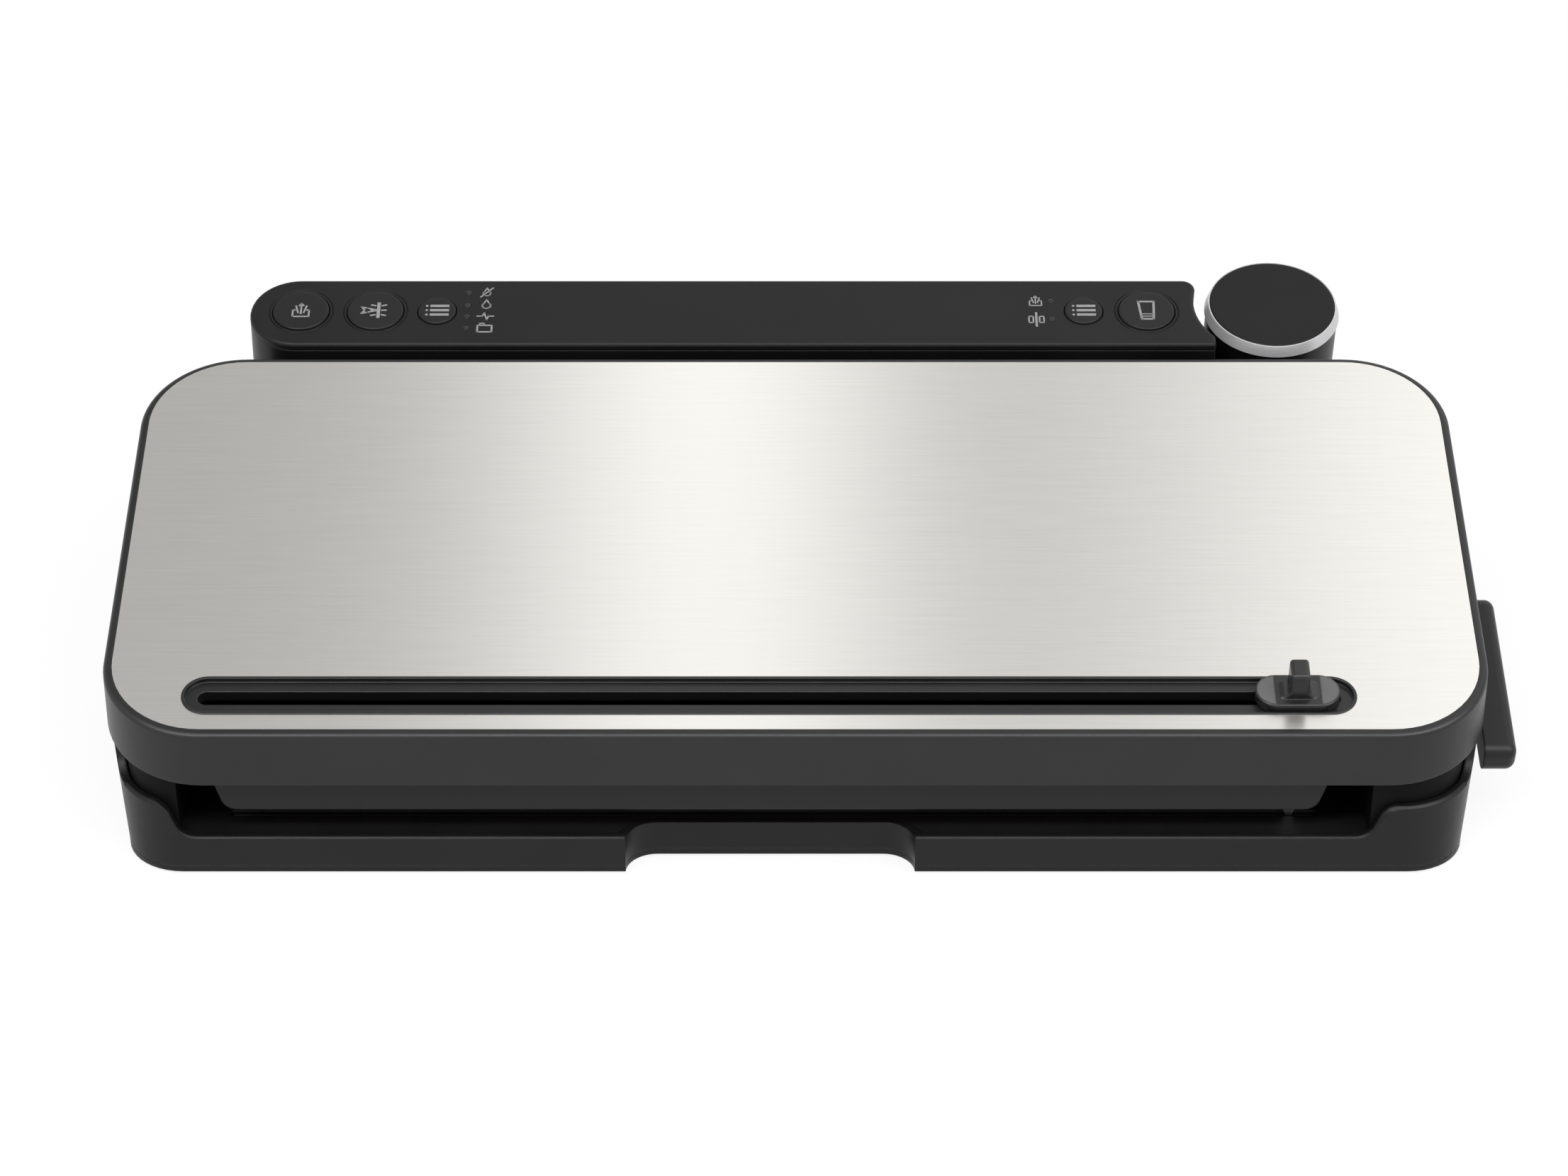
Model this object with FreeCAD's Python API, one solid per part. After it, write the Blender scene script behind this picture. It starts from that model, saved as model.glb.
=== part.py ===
"""Countertop vacuum sealer, in millimetres, +Z up, the front facing -Y.

The lid, the control panel and the handheld sealer lie on one slope that rises to the back.
Shapes on that slope are drawn with x across, y up the slope and z out of it, from the middle
of the lid's front top edge, and then placed. The finished pieces are moved so that the middle
of the whole object's underside is the origin.
"""
import FreeCAD, Part
import math
import os
from FreeCAD import Placement, Rotation, Vector

# Lid
LID_TILT = 13.0
LID_FRONT_Z = 50.8
LID_WIDTH = 410.0
LID_DEPTH = 165.1
LID_CORNER = 31.0
LID_WALL_HEIGHT = 17.5
LID_SKIN = 2.4
LID_EDGE_ROUND = 1.6
RIM = 2.7
PLATE_THICKNESS = 0.8
PARTING_GAP = 1.2

# Lower jaw under the lid
JAW_BOTTOM_Z = 21.2
JAW_TOP_Z = 34.0
JAW_CORNER = 5.0
JAW_FRONT_Y = 5.0
JAW_REAR_Y = 64.5
JAW_TOP_X = (-172.5, 158.0)
JAW_BOTTOM_X = (-168.5, 153.7)
JAW_WALL = 2.0
LINER_THICKNESS = 2.0
LINER_DROP = 13.5

# Cutter
TRACK_X = (-180.5, 164.9)
TRACK_Y = 16.2
TRACK_WIDTH = 15.4
TRACK_DEPTH = 1.2
TRACK_FLOOR = 3.8
CHANNEL_WIDTH = 5.3
CHANNEL_IN = 4.8
SLIDER_X = 147.3
SLIDER_LENGTH = 25.0
SLIDER_WIDTH = 12.7
SHOE_RISE = 2.4
TAB_WIDTH = 5.6
TAB_DEPTH = 7.5
TAB_HEIGHT = 9.5
TAB_FLARE = 3.6
TAB_ROUND = 0.9
CUTTER_TRAVEL = 308.0
CARRIER_LENGTH = 6.6
CARRIER_THICKNESS = 3.2
BLADE_THICKNESS = 0.6

# Base
FOOT_HEIGHT = 1.0
COVER_THICKNESS = 2.0
SCREW_HEAD = 2.8
SCREW_SHANK = 1.4
BASE_TOP_HALF = LID_WIDTH / 2 - 1.6
BASE_BOTTOM_HALF = BASE_TOP_HALF - 3.4
BASE_BOTTOM_FRONT = 1.8
BASE_TOP_FRONT = 0.4
BASE_REAR = LID_DEPTH - 0.6
BASE_BOTTOM_CORNER = 18.0
BASE_TOP_CORNER = 28.0
BASE_SHOULDER_Z = 34.0
BASE_WALL = 2.6
CORNER_RIM_Z = 24.6
FRONT_RIM_Z = 13.6
MOUTH_TOP_X = (-186.0, 174.0)
MOUTH_BOTTOM_X = (-181.5, 169.5)
MOUTH_ROUND = 6.0
RIM_BEVEL = 0.8
MOUTH_REAR_Y = 30.0
RECESS_X = (-50.5, 35.5)
RECESS_DEPTH = 10.4
RECESS_CORNER = 9.4
RECESS_TOP_Z = 12.4

# Deck inside the base
DECK_TOP_Z = 12.2
DECK_THICKNESS = 3.0
SEAL_BAR_Y = (26.0, 33.0)
SEAL_BAR_HALF = 158.0
SEAL_BAR_HEIGHT = 3.0
GASKET_PARTING_Z = 16.7
CHANNEL_Y = (42.0, 60.0)
CHANNEL_HALF = 146.0
CHANNEL_BOTTOM_Z = 5.2
TUB_FLOOR = 1.4
TUB_CORNER = 1.0
RIB_HEIGHT = 2.0
BRIDGE_Y = (67.0, 79.3)
BRIDGE_TOP_Z = 45.5
BRIDGE_ROOF = 14.5
BAY_REAR_Y = BASE_REAR - 14.5
BAY_HALF = LID_WIDTH / 2 - 45.0
BAY_TOP_Z = 55.0
BAY_CORNER = 8.0
RAIL_X = LID_WIDTH / 2 - 23.0
RAIL_HALF = 6.0
DECK_WALL = 2.2
BLADE_GROOVE_WIDTH = 3.0
BLADE_GROOVE_DEPTH = 1.8
STOP_X = (-182.5, 170.0)
STOP_REAR_Y = 56.0
STOP_TOP_Z = 31.5

# Hinge
HINGE_IN = 6.5
HINGE_DOWN = 7.0
HINGE_PIN_RADIUS = 1.8
HINGE_POST_RADIUS = 3.8
HINGE_POST_X = (-120.0, 120.0)
HINGE_POST_WIDTH = 12.0
HINGE_LUG_WIDTH = 4.0
RUNNING_CLEARANCE = 0.05
SIDE_CLEARANCE = 0.35

# Latch
LATCH_Y = 73.5
LATCH_Z = 38.4
LATCH_SHAFT_RADIUS = 3.5
LEVER_X = (LID_WIDTH / 2 + 0.4, LID_WIDTH / 2 + 10.3)
LEVER_FRONT = 52.5
LEVER_REAR = 13.0
LEVER_DEPTH = 10.5
LEVER_EDGE = 3.0
LEVER_TILT = 14.0
HOOK_X = LID_WIDTH / 2 - 21.0
HOOK_WIDTH = 5.0
HOOK_REACH = 9.5
HOOK_NOSE = 3.0

# Control tower and panel
PANEL_RISE = 1.5
PANEL_Y = (LID_DEPTH + 4.1, LID_DEPTH + 35.6)
PANEL_X = (-175.0, 134.5)
PANEL_CORNERS = (0.9, 4.0)
PANEL_THICKNESS = 2.6
PANEL_END_RADIUS = 15.6
TOWER_WALL = 2.4
BULGE_REAR_Y = BASE_REAR + 42.5
BULGE_TOP_Z = 56.0
BULGE_END_RADIUS = 14.0
BUTTON_Y = PANEL_Y[0] + 15.9
LARGE_BUTTON_X = (-158.6, -134.7, 113.1)
SMALL_BUTTON_X = (-114.9, 92.9)
LARGE_BUTTON_RADIUS = 9.0
SMALL_BUTTON_RADIUS = 6.1
BUTTON_CLEARANCE = 0.3
BUTTON_PROUD = 0.5
BUTTON_TRAVEL = 0.8
BUTTON_FLANGE = 0.9
STEM_RADIUS = 2.5
BOARD_THICKNESS = 1.6
BOARD_DROP = 10.0
SWITCH_SIDE = 6.0
LENS_RADIUS = 0.9
LEFT_LENS_X = -105.2
LEFT_LENS_Y = (BUTTON_Y + 9.1, BUTTON_Y + 2.9, BUTTON_Y - 2.5, BUTTON_Y - 8.1)
RIGHT_LENS_X = 82.6
RIGHT_LENS_Y = (BUTTON_Y + 5.1, BUTTON_Y - 3.7)

# Handheld sealer and its dock
HANDHELD_X = 154.0
HANDHELD_Y = LID_DEPTH + 24.7
CAP_RADIUS = 20.2
RING_RADIUS = 21.7
GRIP_RADIUS = 21.2
CAP_RISE = 0.6
CAP_THICKNESS = 1.4
RING_HEIGHT = 3.5
RING_LIP = 0.35
GRIP_LENGTH = 66.0
NOZZLE_RADIUS = 12.0
NOZZLE_LENGTH = 7.0
DOCK_TOP = 30.0
DOCK_CLEARANCE = 0.4
DOCK_WALL = 2.4
DOCK_FLOOR = 3.0
DOCK_GAP = 25.4

# Workings in the tower
MOTOR_X = (22.0, 68.0)
MOTOR_Y = BASE_REAR + 21.5
MOTOR_Z = 30.0
MOTOR_RADIUS = 15.0
MOTOR_WALL = 2.0
MOTOR_GAP = 0.5
MOTOR_SHAFT_RADIUS = 2.0
CAM_RADIUS = 6.0
CAM_THROW = 1.8
PUMP_X = (68.0, 102.0)
PUMP_Y = (BASE_REAR + 7.0, BASE_REAR + 37.0)
PUMP_Z = (10.6, 52.0)
VALVE_SIZE = (18.0, 15.0, 16.0)
HOSE_RADIUS = 2.6
HOSE_BORE = 1.6
HOSE_Z = 7.4
DOCK_HOSE_Y = BASE_REAR + 25.5
DOCK_HOSE_Z = 18.0
TRANSFORMER_X = -120.0
CORE_SIZE = (52.0, 20.0, 42.0)
COIL_DEPTH = 30.0
LIMB = 12.0
MAIN_BOARD_X = (-76.0, 4.0)
MAIN_BOARD_HEIGHT = 46.0
GLAND_X = -86.0
GLAND_Z = 18.0
GLAND_RADIUS = 5.0
GLAND_FLANGE = 7.5
GLAND_BORE = 3.2

SLOPE = Placement(Vector(0, 0, LID_FRONT_Z), Rotation(Vector(1, 0, 0), LID_TILT))
COVER_TOP_Z = FOOT_HEIGHT + COVER_THICKNESS
TAN_TILT = math.tan(math.radians(LID_TILT))
COS_TILT = math.cos(math.radians(LID_TILT))
UP = Vector(0, 0, 1)
ACROSS = Vector(1, 0, 0)
EPS = 1e-6
FAR = 400.0
nodes = {}


def box(x, y, z):
    """A box from three (low, high) pairs."""
    corner = Vector(x[0], y[0], z[0])
    return Part.makeBox(x[1] - x[0], y[1] - y[0], z[1] - z[0], corner)


def rod(radius, start, end):
    """A cylinder from one point to another."""
    start, end = Vector(*start), Vector(*end)
    return Part.makeCylinder(radius, (end - start).Length, start, end - start)


def cross_rod(radius, x, y, z):
    """A cylinder across the machine, between two x values."""
    return rod(radius, (x[0], y, z), (x[1], y, z))


def rounded(points, to_space):
    """A closed wire through (a, b, radius) corners, each rounded by its own radius."""
    flat = [Vector(a, b, 0) for a, b, _ in points]
    ends = []
    for i, (_, _, radius) in enumerate(points):
        here = flat[i]
        back = (flat[i - 1] - here).normalize()
        ahead = (flat[(i + 1) % len(flat)] - here).normalize()
        half = back.getAngle(ahead) / 2
        run = radius / math.tan(half)
        middle = (back + ahead).normalize() * (radius / math.sin(half) - radius)
        ends.append((here + back * run, here + middle, here + ahead * run, radius))
    edges = []
    for i, (start, middle, end, radius) in enumerate(ends):
        if radius > 0:
            arc = Part.Arc(to_space(start), to_space(middle), to_space(end))
            edges.append(arc.toShape())
        following = ends[(i + 1) % len(ends)][0]
        if (following - end).Length > EPS:
            edges.append(Part.makeLine(to_space(end), to_space(following)))
    return Part.Wire(Part.__sortEdges__(edges))


def plan(points, z):
    """A wire of rounded corners in a level plane."""
    return rounded(points, lambda p: Vector(p.x, p.y, z))


def plan_prism(points, z):
    """A level rounded outline, raised between two heights."""
    return Part.Face(plan(points, z[0])).extrude(UP * (z[1] - z[0]))


def side_prism(points, x):
    """A rounded outline of (y, z, radius) corners, drawn across between two x values."""
    wire = rounded(points, lambda p: Vector(x[0], p.x, p.y))
    return Part.Face(wire).extrude(ACROSS * (x[1] - x[0]))


def front_prism(points, y):
    """A rounded outline of (x, z, radius) corners, drawn back between two y values."""
    wire = rounded(points, lambda p: Vector(p.x, y[0], p.y))
    return Part.Face(wire).extrude(Vector(0, y[1] - y[0], 0))


def rectangle(x, y, radius):
    """The corners of a rounded rectangle."""
    return [(x[0], y[0], radius), (x[1], y[0], radius), (x[1], y[1], radius), (x[0], y[1], radius)]


def stadium(x, y_middle, width, z):
    """A long slot shape with round ends."""
    half = width / 2
    return plan_prism(rectangle(x, (y_middle - half, y_middle + half), half), z)


def grown(pair, amount):
    """A (low, high) pair made longer at both ends."""
    return (pair[0] - amount, pair[1] + amount)


def on_slope(shape):
    """A shape drawn on the slope, put in its place."""
    placed = shape.copy()
    placed.Placement = SLOPE.multiply(placed.Placement)
    return placed


def slope_point(x, y, z):
    """A point of the slope, in the machine's own frame."""
    return SLOPE.multVec(Vector(x, y, z))


def lid_top_z(y):
    """Height of the lid's top plane at a distance back from its front edge."""
    return LID_FRONT_Z + y * TAN_TILT


def below_slope(drop):
    """A thick slab whose upper face is the lid's plane, lowered straight down."""
    slab = Part.makeBox(2 * FAR, 2 * FAR, FAR, Vector(-FAR, -FAR, -FAR))
    slab = on_slope(slab)
    slab.translate(Vector(0, 0, -drop))
    return slab


def round_edges(shape, radius, wanted):
    """A shape with the edges that pass a test rounded."""
    edges = [edge for edge in shape.Edges if wanted(edge.BoundBox, edge)]
    return shape.makeFillet(radius, edges)


def joined(first, *others):
    """Several overlapping or touching solids as one, with seams removed."""
    return first.multiFuse(list(others)).removeSplitter()


def keep(name, *solids):
    """Store a node, which is one solid or a group of separate solids."""
    nodes[name] = solids[0] if len(solids) == 1 else Part.makeCompound(list(solids))


DECK_LOW_Z = DECK_TOP_Z - DECK_THICKNESS
DECK_SHARE = (DECK_LOW_Z - COVER_TOP_Z) / (BASE_SHOULDER_Z - COVER_TOP_Z)
DECK_HALF = BASE_BOTTOM_HALF + DECK_SHARE * (BASE_TOP_HALF - BASE_BOTTOM_HALF) - BASE_WALL - 0.3
DECK_FRONT_Y = BASE_BOTTOM_FRONT + BASE_WALL + 0.3
BUSH_RADIUS = LATCH_SHAFT_RADIUS + 2.0
CUT_Y = TRACK_Y * COS_TILT
HOSE_X = (PUMP_X[0] + PUMP_X[1]) / 2
HOSE_END_Y = MOTOR_Y - 6.0
DOCK_RADIUS = GRIP_RADIUS + DOCK_CLEARANCE + DOCK_WALL
HINGE_Y = LID_DEPTH * COS_TILT - HINGE_IN
HINGE_Z = lid_top_z(HINGE_Y) - HINGE_DOWN


def base_corners(share, inset):
    """The base's level outline, from its foot (share 0) to its shoulder (share 1)."""
    half = BASE_BOTTOM_HALF + share * (BASE_TOP_HALF - BASE_BOTTOM_HALF) - inset
    front = BASE_BOTTOM_FRONT + share * (BASE_TOP_FRONT - BASE_BOTTOM_FRONT) + inset
    corner = BASE_BOTTOM_CORNER + share * (BASE_TOP_CORNER - BASE_BOTTOM_CORNER) - inset
    return rectangle((-half, half), (front, BASE_REAR - inset), corner)


def base_solid(inset):
    """The base as a full block, its sides leaning out to the shoulder and upright above it."""
    foot = plan(base_corners(0.0, inset), COVER_TOP_Z)
    shoulder = plan(base_corners(1.0, inset), BASE_SHOULDER_Z)
    lower = Part.makeLoft([foot, shoulder], True, True)
    upper = plan_prism(base_corners(1.0, inset), (BASE_SHOULDER_Z, FAR / 2))
    return joined(lower, upper)


def recess_corners(grow):
    """The finger recess in the front wall, seen from above."""
    x = grown(RECESS_X, grow)
    y = (BASE_TOP_FRONT - FAR / 8, BASE_TOP_FRONT + RECESS_DEPTH + grow)
    corner = RECESS_CORNER + grow
    return [(x[0], y[0], 0), (x[1], y[0], 0), (x[1], y[1], corner), (x[0], y[1], corner)]


def mouth_corners(grow):
    """The bag mouth in the front wall, seen from the front, with its edge moved out by an amount."""
    top = CORNER_RIM_Z + 0.02 - grow
    low = FRONT_RIM_Z - grow
    top_x = grown(MOUTH_TOP_X, grow / 2)
    low_x = grown(MOUTH_BOTTOM_X, grow / 2)
    end_x = grown(MOUTH_TOP_X, MOUTH_ROUND)
    return [
        (end_x[0], top, 0), (top_x[0], top, MOUTH_ROUND), (low_x[0], low, MOUTH_ROUND),
        (low_x[1], low, MOUTH_ROUND), (top_x[1], top, MOUTH_ROUND), (end_x[1], top, 0),
        (end_x[1], FAR, 0), (end_x[0], FAR, 0),
    ]


def rim_bevel():
    """What a small bevel takes off the front edge of the mouth's rim."""
    front = base_corners(0.5, 0.0)[0][1]
    wires = []
    for y, grow in ((front, RIM_BEVEL), (front + RIM_BEVEL, 0.0)):
        wires.append(rounded(mouth_corners(grow), lambda p: Vector(p.x, y, p.y)))
    slope = Part.makeLoft(wires, True, True)
    return joined(slope, front_prism(mouth_corners(RIM_BEVEL), (front - RIM_BEVEL, front)))


def corner_bevel():
    """What a small bevel takes off the level rim at the two front corners."""
    z = (CORNER_RIM_Z - RIM_BEVEL, CORNER_RIM_Z)
    rings = []
    for height, inset in zip(z, (0.0, RIM_BEVEL)):
        share = (height - COVER_TOP_Z) / (BASE_SHOULDER_Z - COVER_TOP_Z)
        rings.append(plan(base_corners(share, inset), height))
    inside = Part.makeLoft(rings, True, True)
    return box((-FAR, FAR), (-FAR, MOUTH_REAR_Y - 16.0), z).cut(inside)


def make_base_shell():
    """Outer wall of the base, with the bag mouth and the finger recess in its front."""
    outer = base_solid(0.0)
    wall = outer.cut(base_solid(BASE_WALL))
    z = (COVER_TOP_Z, RECESS_TOP_Z)
    behind = plan_prism(recess_corners(BASE_WALL), z).common(outer)
    shell = joined(wall, behind)
    shell = shell.cut(plan_prism(recess_corners(0.0), (0.0, FAR)))
    corner = [
        (-FAR, CORNER_RIM_Z, 0), (MOUTH_REAR_Y - 9.0, CORNER_RIM_Z, 9.0),
        (MOUTH_REAR_Y, lid_top_z(MOUTH_REAR_Y), 0), (MOUTH_REAR_Y, FAR, 0), (-FAR, FAR, 0),
    ]
    shell = shell.cut(side_prism(corner, (-FAR, FAR)))
    shell = shell.cut(front_prism(mouth_corners(0.0), (-FAR, MOUTH_REAR_Y - 8.0)))
    shell = shell.cut(rim_bevel()).cut(corner_bevel())
    shell = shell.common(below_slope(LID_WALL_HEIGHT + PARTING_GAP))
    bush_hole = BUSH_RADIUS + RUNNING_CLEARANCE
    shell = shell.cut(cross_rod(bush_hole, (DECK_HALF, FAR), LATCH_Y, LATCH_Z))
    return shell.cut(hose_room())


def make_bottom_cover():
    """One floor plate under the base, the tower and the dock."""
    z = (FOOT_HEIGHT, COVER_TOP_Z)
    plate = plan_prism(base_corners(0.0, 0.0), z)
    tower = plan_prism(bulge_corners(0.0), z)
    dock = dock_cylinder(DOCK_RADIUS).common(box((-FAR, FAR), (0, FAR), z))
    return joined(plate, tower, dock).cut(plan_prism(recess_corners(0.0), (0.0, FAR)))


def foot_spots():
    """Centres of the rubber feet."""
    x = BASE_BOTTOM_HALF - 22.0
    return [(-x, 26.0), (x, 26.0), (-150.0, BASE_REAR + 25.5), (HANDHELD_X, BASE_REAR + 35.5)]


def make_feet():
    """Four soft feet, each plugged into the floor plate's underside."""
    feet = []
    for x, y in foot_spots():
        pad = rod(7.0, (x, y, 0.0), (x, y, FOOT_HEIGHT))
        feet.append(round_edges(pad, 0.5, lambda b, e: b.ZMax < EPS))
    return feet


def cover_screw_spots():
    """Places of the screws that hold the floor plate to the deck."""
    return [(x, y) for x in (-RAIL_X, -100.0, 100.0, RAIL_X) for y in (36.0, BAY_REAR_Y - 10.0)]


def screw(x, y, tip):
    """A countersunk screw that stands on its head in the floor plate's underside."""
    top = FOOT_HEIGHT + SCREW_SHANK
    cone = Part.makeCone(SCREW_HEAD, SCREW_SHANK, SCREW_SHANK, Vector(x, y, FOOT_HEIGHT))
    return joined(cone, rod(SCREW_SHANK, (x, y, top), (x, y, tip)))


def hose_room():
    """The straight way that the vacuum hose takes to the pump."""
    start = (HOSE_X, CHANNEL_Y[1] + DECK_WALL, HOSE_Z)
    return rod(HOSE_RADIUS + 0.2, start, (HOSE_X, BASE_REAR + TOWER_WALL + 1.0, HOSE_Z))


def cover_bosses(front):
    """Screw bosses under the front or the back row of the floor plate's screws."""
    top = DECK_LOW_Z + 0.5
    spots = [(x, y) for x, y in cover_screw_spots() if (y < BRIDGE_Y[0]) == front]
    bosses = [rod(3.6, (x, y, COVER_TOP_Z), (x, y, top)) for x, y in spots]
    holes = [rod(SCREW_SHANK, (x, y, 0.0), (x, y, top)) for x, y in spots]
    return bosses, holes


def tub_block():
    """The vacuum channel's tub as a full block."""
    x = grown((-CHANNEL_HALF, CHANNEL_HALF), DECK_WALL)
    z = (CHANNEL_BOTTOM_Z - TUB_FLOOR, DECK_TOP_Z)
    return plan_prism(rectangle(x, grown(CHANNEL_Y, DECK_WALL), TUB_CORNER + DECK_WALL), z)


def make_deck():
    """The bag deck, with the seal bar's rib and the groove that the blade runs in."""
    floor = box((-DECK_HALF, DECK_HALF), (DECK_FRONT_Y, BRIDGE_Y[0]), (DECK_LOW_Z, DECK_TOP_Z))
    front = DECK_FRONT_Y + EPS
    floor = round_edges(floor, BASE_BOTTOM_CORNER, lambda b, e: b.ZLength > 1 and b.YMax < front)
    floor = floor.cut(plan_prism(recess_corners(BASE_WALL + 0.3), (0.0, FAR)))
    floor = floor.cut(tub_block())
    rib_x = (-SEAL_BAR_HALF - 3.0, SEAL_BAR_HALF - 9.0)
    rib = box(rib_x, grown(SEAL_BAR_Y, 1.8), (DECK_LOW_Z, DECK_TOP_Z + RIB_HEIGHT))
    bosses, holes = cover_bosses(True)
    deck = joined(floor, rib, *bosses)
    groove = box(
        (SLIDER_X - CUTTER_TRAVEL - 8.0, SLIDER_X + 8.0),
        (CUT_Y - BLADE_GROOVE_WIDTH / 2, CUT_Y + BLADE_GROOVE_WIDTH / 2),
        (DECK_TOP_Z - BLADE_GROOVE_DEPTH, FAR),
    )
    for cutter in (groove, hose_room(), *holes):
        deck = deck.cut(cutter)
    return deck


def make_channel_tub():
    """The sunk tub of the vacuum channel, with the port for the vacuum hose."""
    inside = rectangle((-CHANNEL_HALF, CHANNEL_HALF), CHANNEL_Y, TUB_CORNER)
    tub = tub_block().cut(plan_prism(inside, (CHANNEL_BOTTOM_Z, FAR)))
    return tub.cut(rod(HOSE_BORE, (HOSE_X, CHANNEL_Y[1] - 1, HOSE_Z), (HOSE_X, BRIDGE_Y[0], HOSE_Z)))


def make_latch_bridge():
    """The hollow beam across the base that carries the latch shaft."""
    bridge = box((-DECK_HALF, DECK_HALF), BRIDGE_Y, (DECK_LOW_Z, BRIDGE_TOP_Z))
    bridge = round_edges(bridge, 2.5, lambda b, e: b.XLength > BAY_HALF and b.ZMin > BRIDGE_TOP_Z - 1)
    under_z = (0.0, BRIDGE_TOP_Z - BRIDGE_ROOF)
    under = box(grown((-RAIL_X, RAIL_X), 8.0), grown(BRIDGE_Y, -DECK_WALL), under_z)
    tunnel = LATCH_SHAFT_RADIUS + RUNNING_CLEARANCE
    shaft = cross_rod(tunnel, (-FAR, FAR), LATCH_Y, LATCH_Z)
    bridge = bridge.cut(under).cut(shaft).cut(hose_room())
    for middle in (-HOOK_X, HOOK_X):
        pocket_x = grown((middle, middle), HOOK_WIDTH / 2 + 1.0)
        bridge = bridge.cut(box(pocket_x, grown(BRIDGE_Y, 1.0), (LATCH_Z - 8.0, FAR)))
    return bridge


def bay_block():
    """The trough for the bag roll as a full block, its top below the shut lid."""
    x = grown((-BAY_HALF, BAY_HALF), DECK_WALL)
    y = (BRIDGE_Y[1], BAY_REAR_Y + DECK_WALL)
    block = box(x, y, (DECK_LOW_Z, BAY_TOP_Z))
    return block.common(below_slope(LID_WALL_HEIGHT + PARTING_GAP + 1.5))


def make_roll_bay():
    """The open trough that the bag roll lies in."""
    front = BRIDGE_Y[1] + DECK_WALL
    hollow = [
        (front, DECK_TOP_Z, BAY_CORNER), (BAY_REAR_Y, DECK_TOP_Z, BAY_CORNER),
        (BAY_REAR_Y, FAR, 0), (front, FAR, 0),
    ]
    return bay_block().cut(side_prism(hollow, (-BAY_HALF, BAY_HALF))).cut(hose_room())


def make_bay_fittings():
    """Hinge posts behind the trough, side rails that hold it down, and bosses for the back screws."""
    pieces = [hinge_post(x) for x in HINGE_POST_X]
    y = (BRIDGE_Y[1], BAY_REAR_Y + DECK_WALL)
    z = (DECK_LOW_Z, DECK_TOP_Z)
    bosses, holes = cover_bosses(False)
    for middle in (-RAIL_X, RAIL_X):
        rail = box(grown((middle, middle), RAIL_HALF), y, z)
        reach = sorted((middle, math.copysign(BAY_HALF, middle)))
        arm = box(reach, (BAY_REAR_Y - 14.0, BAY_REAR_Y - 8.0), z)
        pieces.append(joined(rail, arm))
    pieces += bosses
    whole = joined(*pieces).cut(bay_block())
    for hole in holes:
        whole = whole.cut(hole)
    return whole.Solids


def make_bag_stops():
    """Corner blocks beside the bag mouth, close behind the base's rim."""
    block = base_solid(BASE_WALL + 0.4)
    z = (DECK_TOP_Z, STOP_TOP_Z)
    y = (0.0, STOP_REAR_Y)
    return [block.common(box(x, y, z)) for x in ((-FAR, STOP_X[0]), (STOP_X[1], FAR))]


def hinge_post(x):
    """An upright ear at the back of the roll bay that carries a hinge pin."""
    span = (x - HINGE_POST_WIDTH / 2, x + HINGE_POST_WIDTH / 2)
    ear = cross_rod(HINGE_POST_RADIUS, span, HINGE_Y, HINGE_Z)
    stem_y = (HINGE_Y - HINGE_POST_RADIUS, HINGE_Y + HINGE_POST_RADIUS)
    stem = box(span, stem_y, (BAY_TOP_Z - 22.0, HINGE_Z))
    foot = box(span, (BAY_REAR_Y, stem_y[1]), (BAY_TOP_Z - 30.0, BAY_TOP_Z - 6.0))
    hole = HINGE_PIN_RADIUS + RUNNING_CLEARANCE
    pin = cross_rod(hole, grown(span, 1.0), HINGE_Y, HINGE_Z)
    return joined(ear, stem, foot).cut(pin)


def make_drip_tray():
    """The lift-out tray that lines the vacuum channel."""
    gap = 0.3
    x = (-CHANNEL_HALF + gap, CHANNEL_HALF - gap)
    y = grown(CHANNEL_Y, -gap)
    tray = plan_prism(rectangle(x, y, 3.7), (CHANNEL_BOTTOM_Z, DECK_TOP_Z - 0.2))
    inner = plan_prism(rectangle(grown(x, -1.2), grown(y, -1.2), 2.5), (CHANNEL_BOTTOM_Z + 1.2, FAR))
    tray = tray.cut(inner)
    port = rod(HOSE_BORE, (HOSE_X, CHANNEL_Y[1] - 4, HOSE_Z), (HOSE_X, CHANNEL_Y[1] + 1, HOSE_Z))
    return tray.cut(port)


def gasket(z):
    """A foam ring round the vacuum channel."""
    x = grown((-CHANNEL_HALF, CHANNEL_HALF), 3.2)
    y = grown(CHANNEL_Y, 0.6)
    x = (x[0] - 3.8, min(x[1] + 3.8, JAW_BOTTOM_X[1] - 0.5))
    ring = plan_prism(rectangle(x, grown(y, 3.6), 8.0), z)
    return ring.cut(plan_prism(rectangle(grown(x, -3.6), y, 5.0), (z[0] - 1, z[1] + 1)))


def lid_face(inset, drop):
    """The lid's outline on the slope, drawn in by an inset and lowered straight down."""
    half = LID_WIDTH / 2 - inset
    corners = rectangle((-half, half), (inset, LID_DEPTH - inset), LID_CORNER - inset)
    face = on_slope(Part.Face(plan(corners, 0.0)))
    face.translate(Vector(0, 0, -drop))
    return face


def lid_block(inset, drop, height):
    """A block of the lid's outline with upright sides."""
    return lid_face(inset, drop).extrude(UP * -height)


def track_hole(grow, z):
    """The cutter track's outline, placed on the slope."""
    return on_slope(stadium(grown(TRACK_X, grow), TRACK_Y, TRACK_WIDTH + 2 * grow, z))


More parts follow.
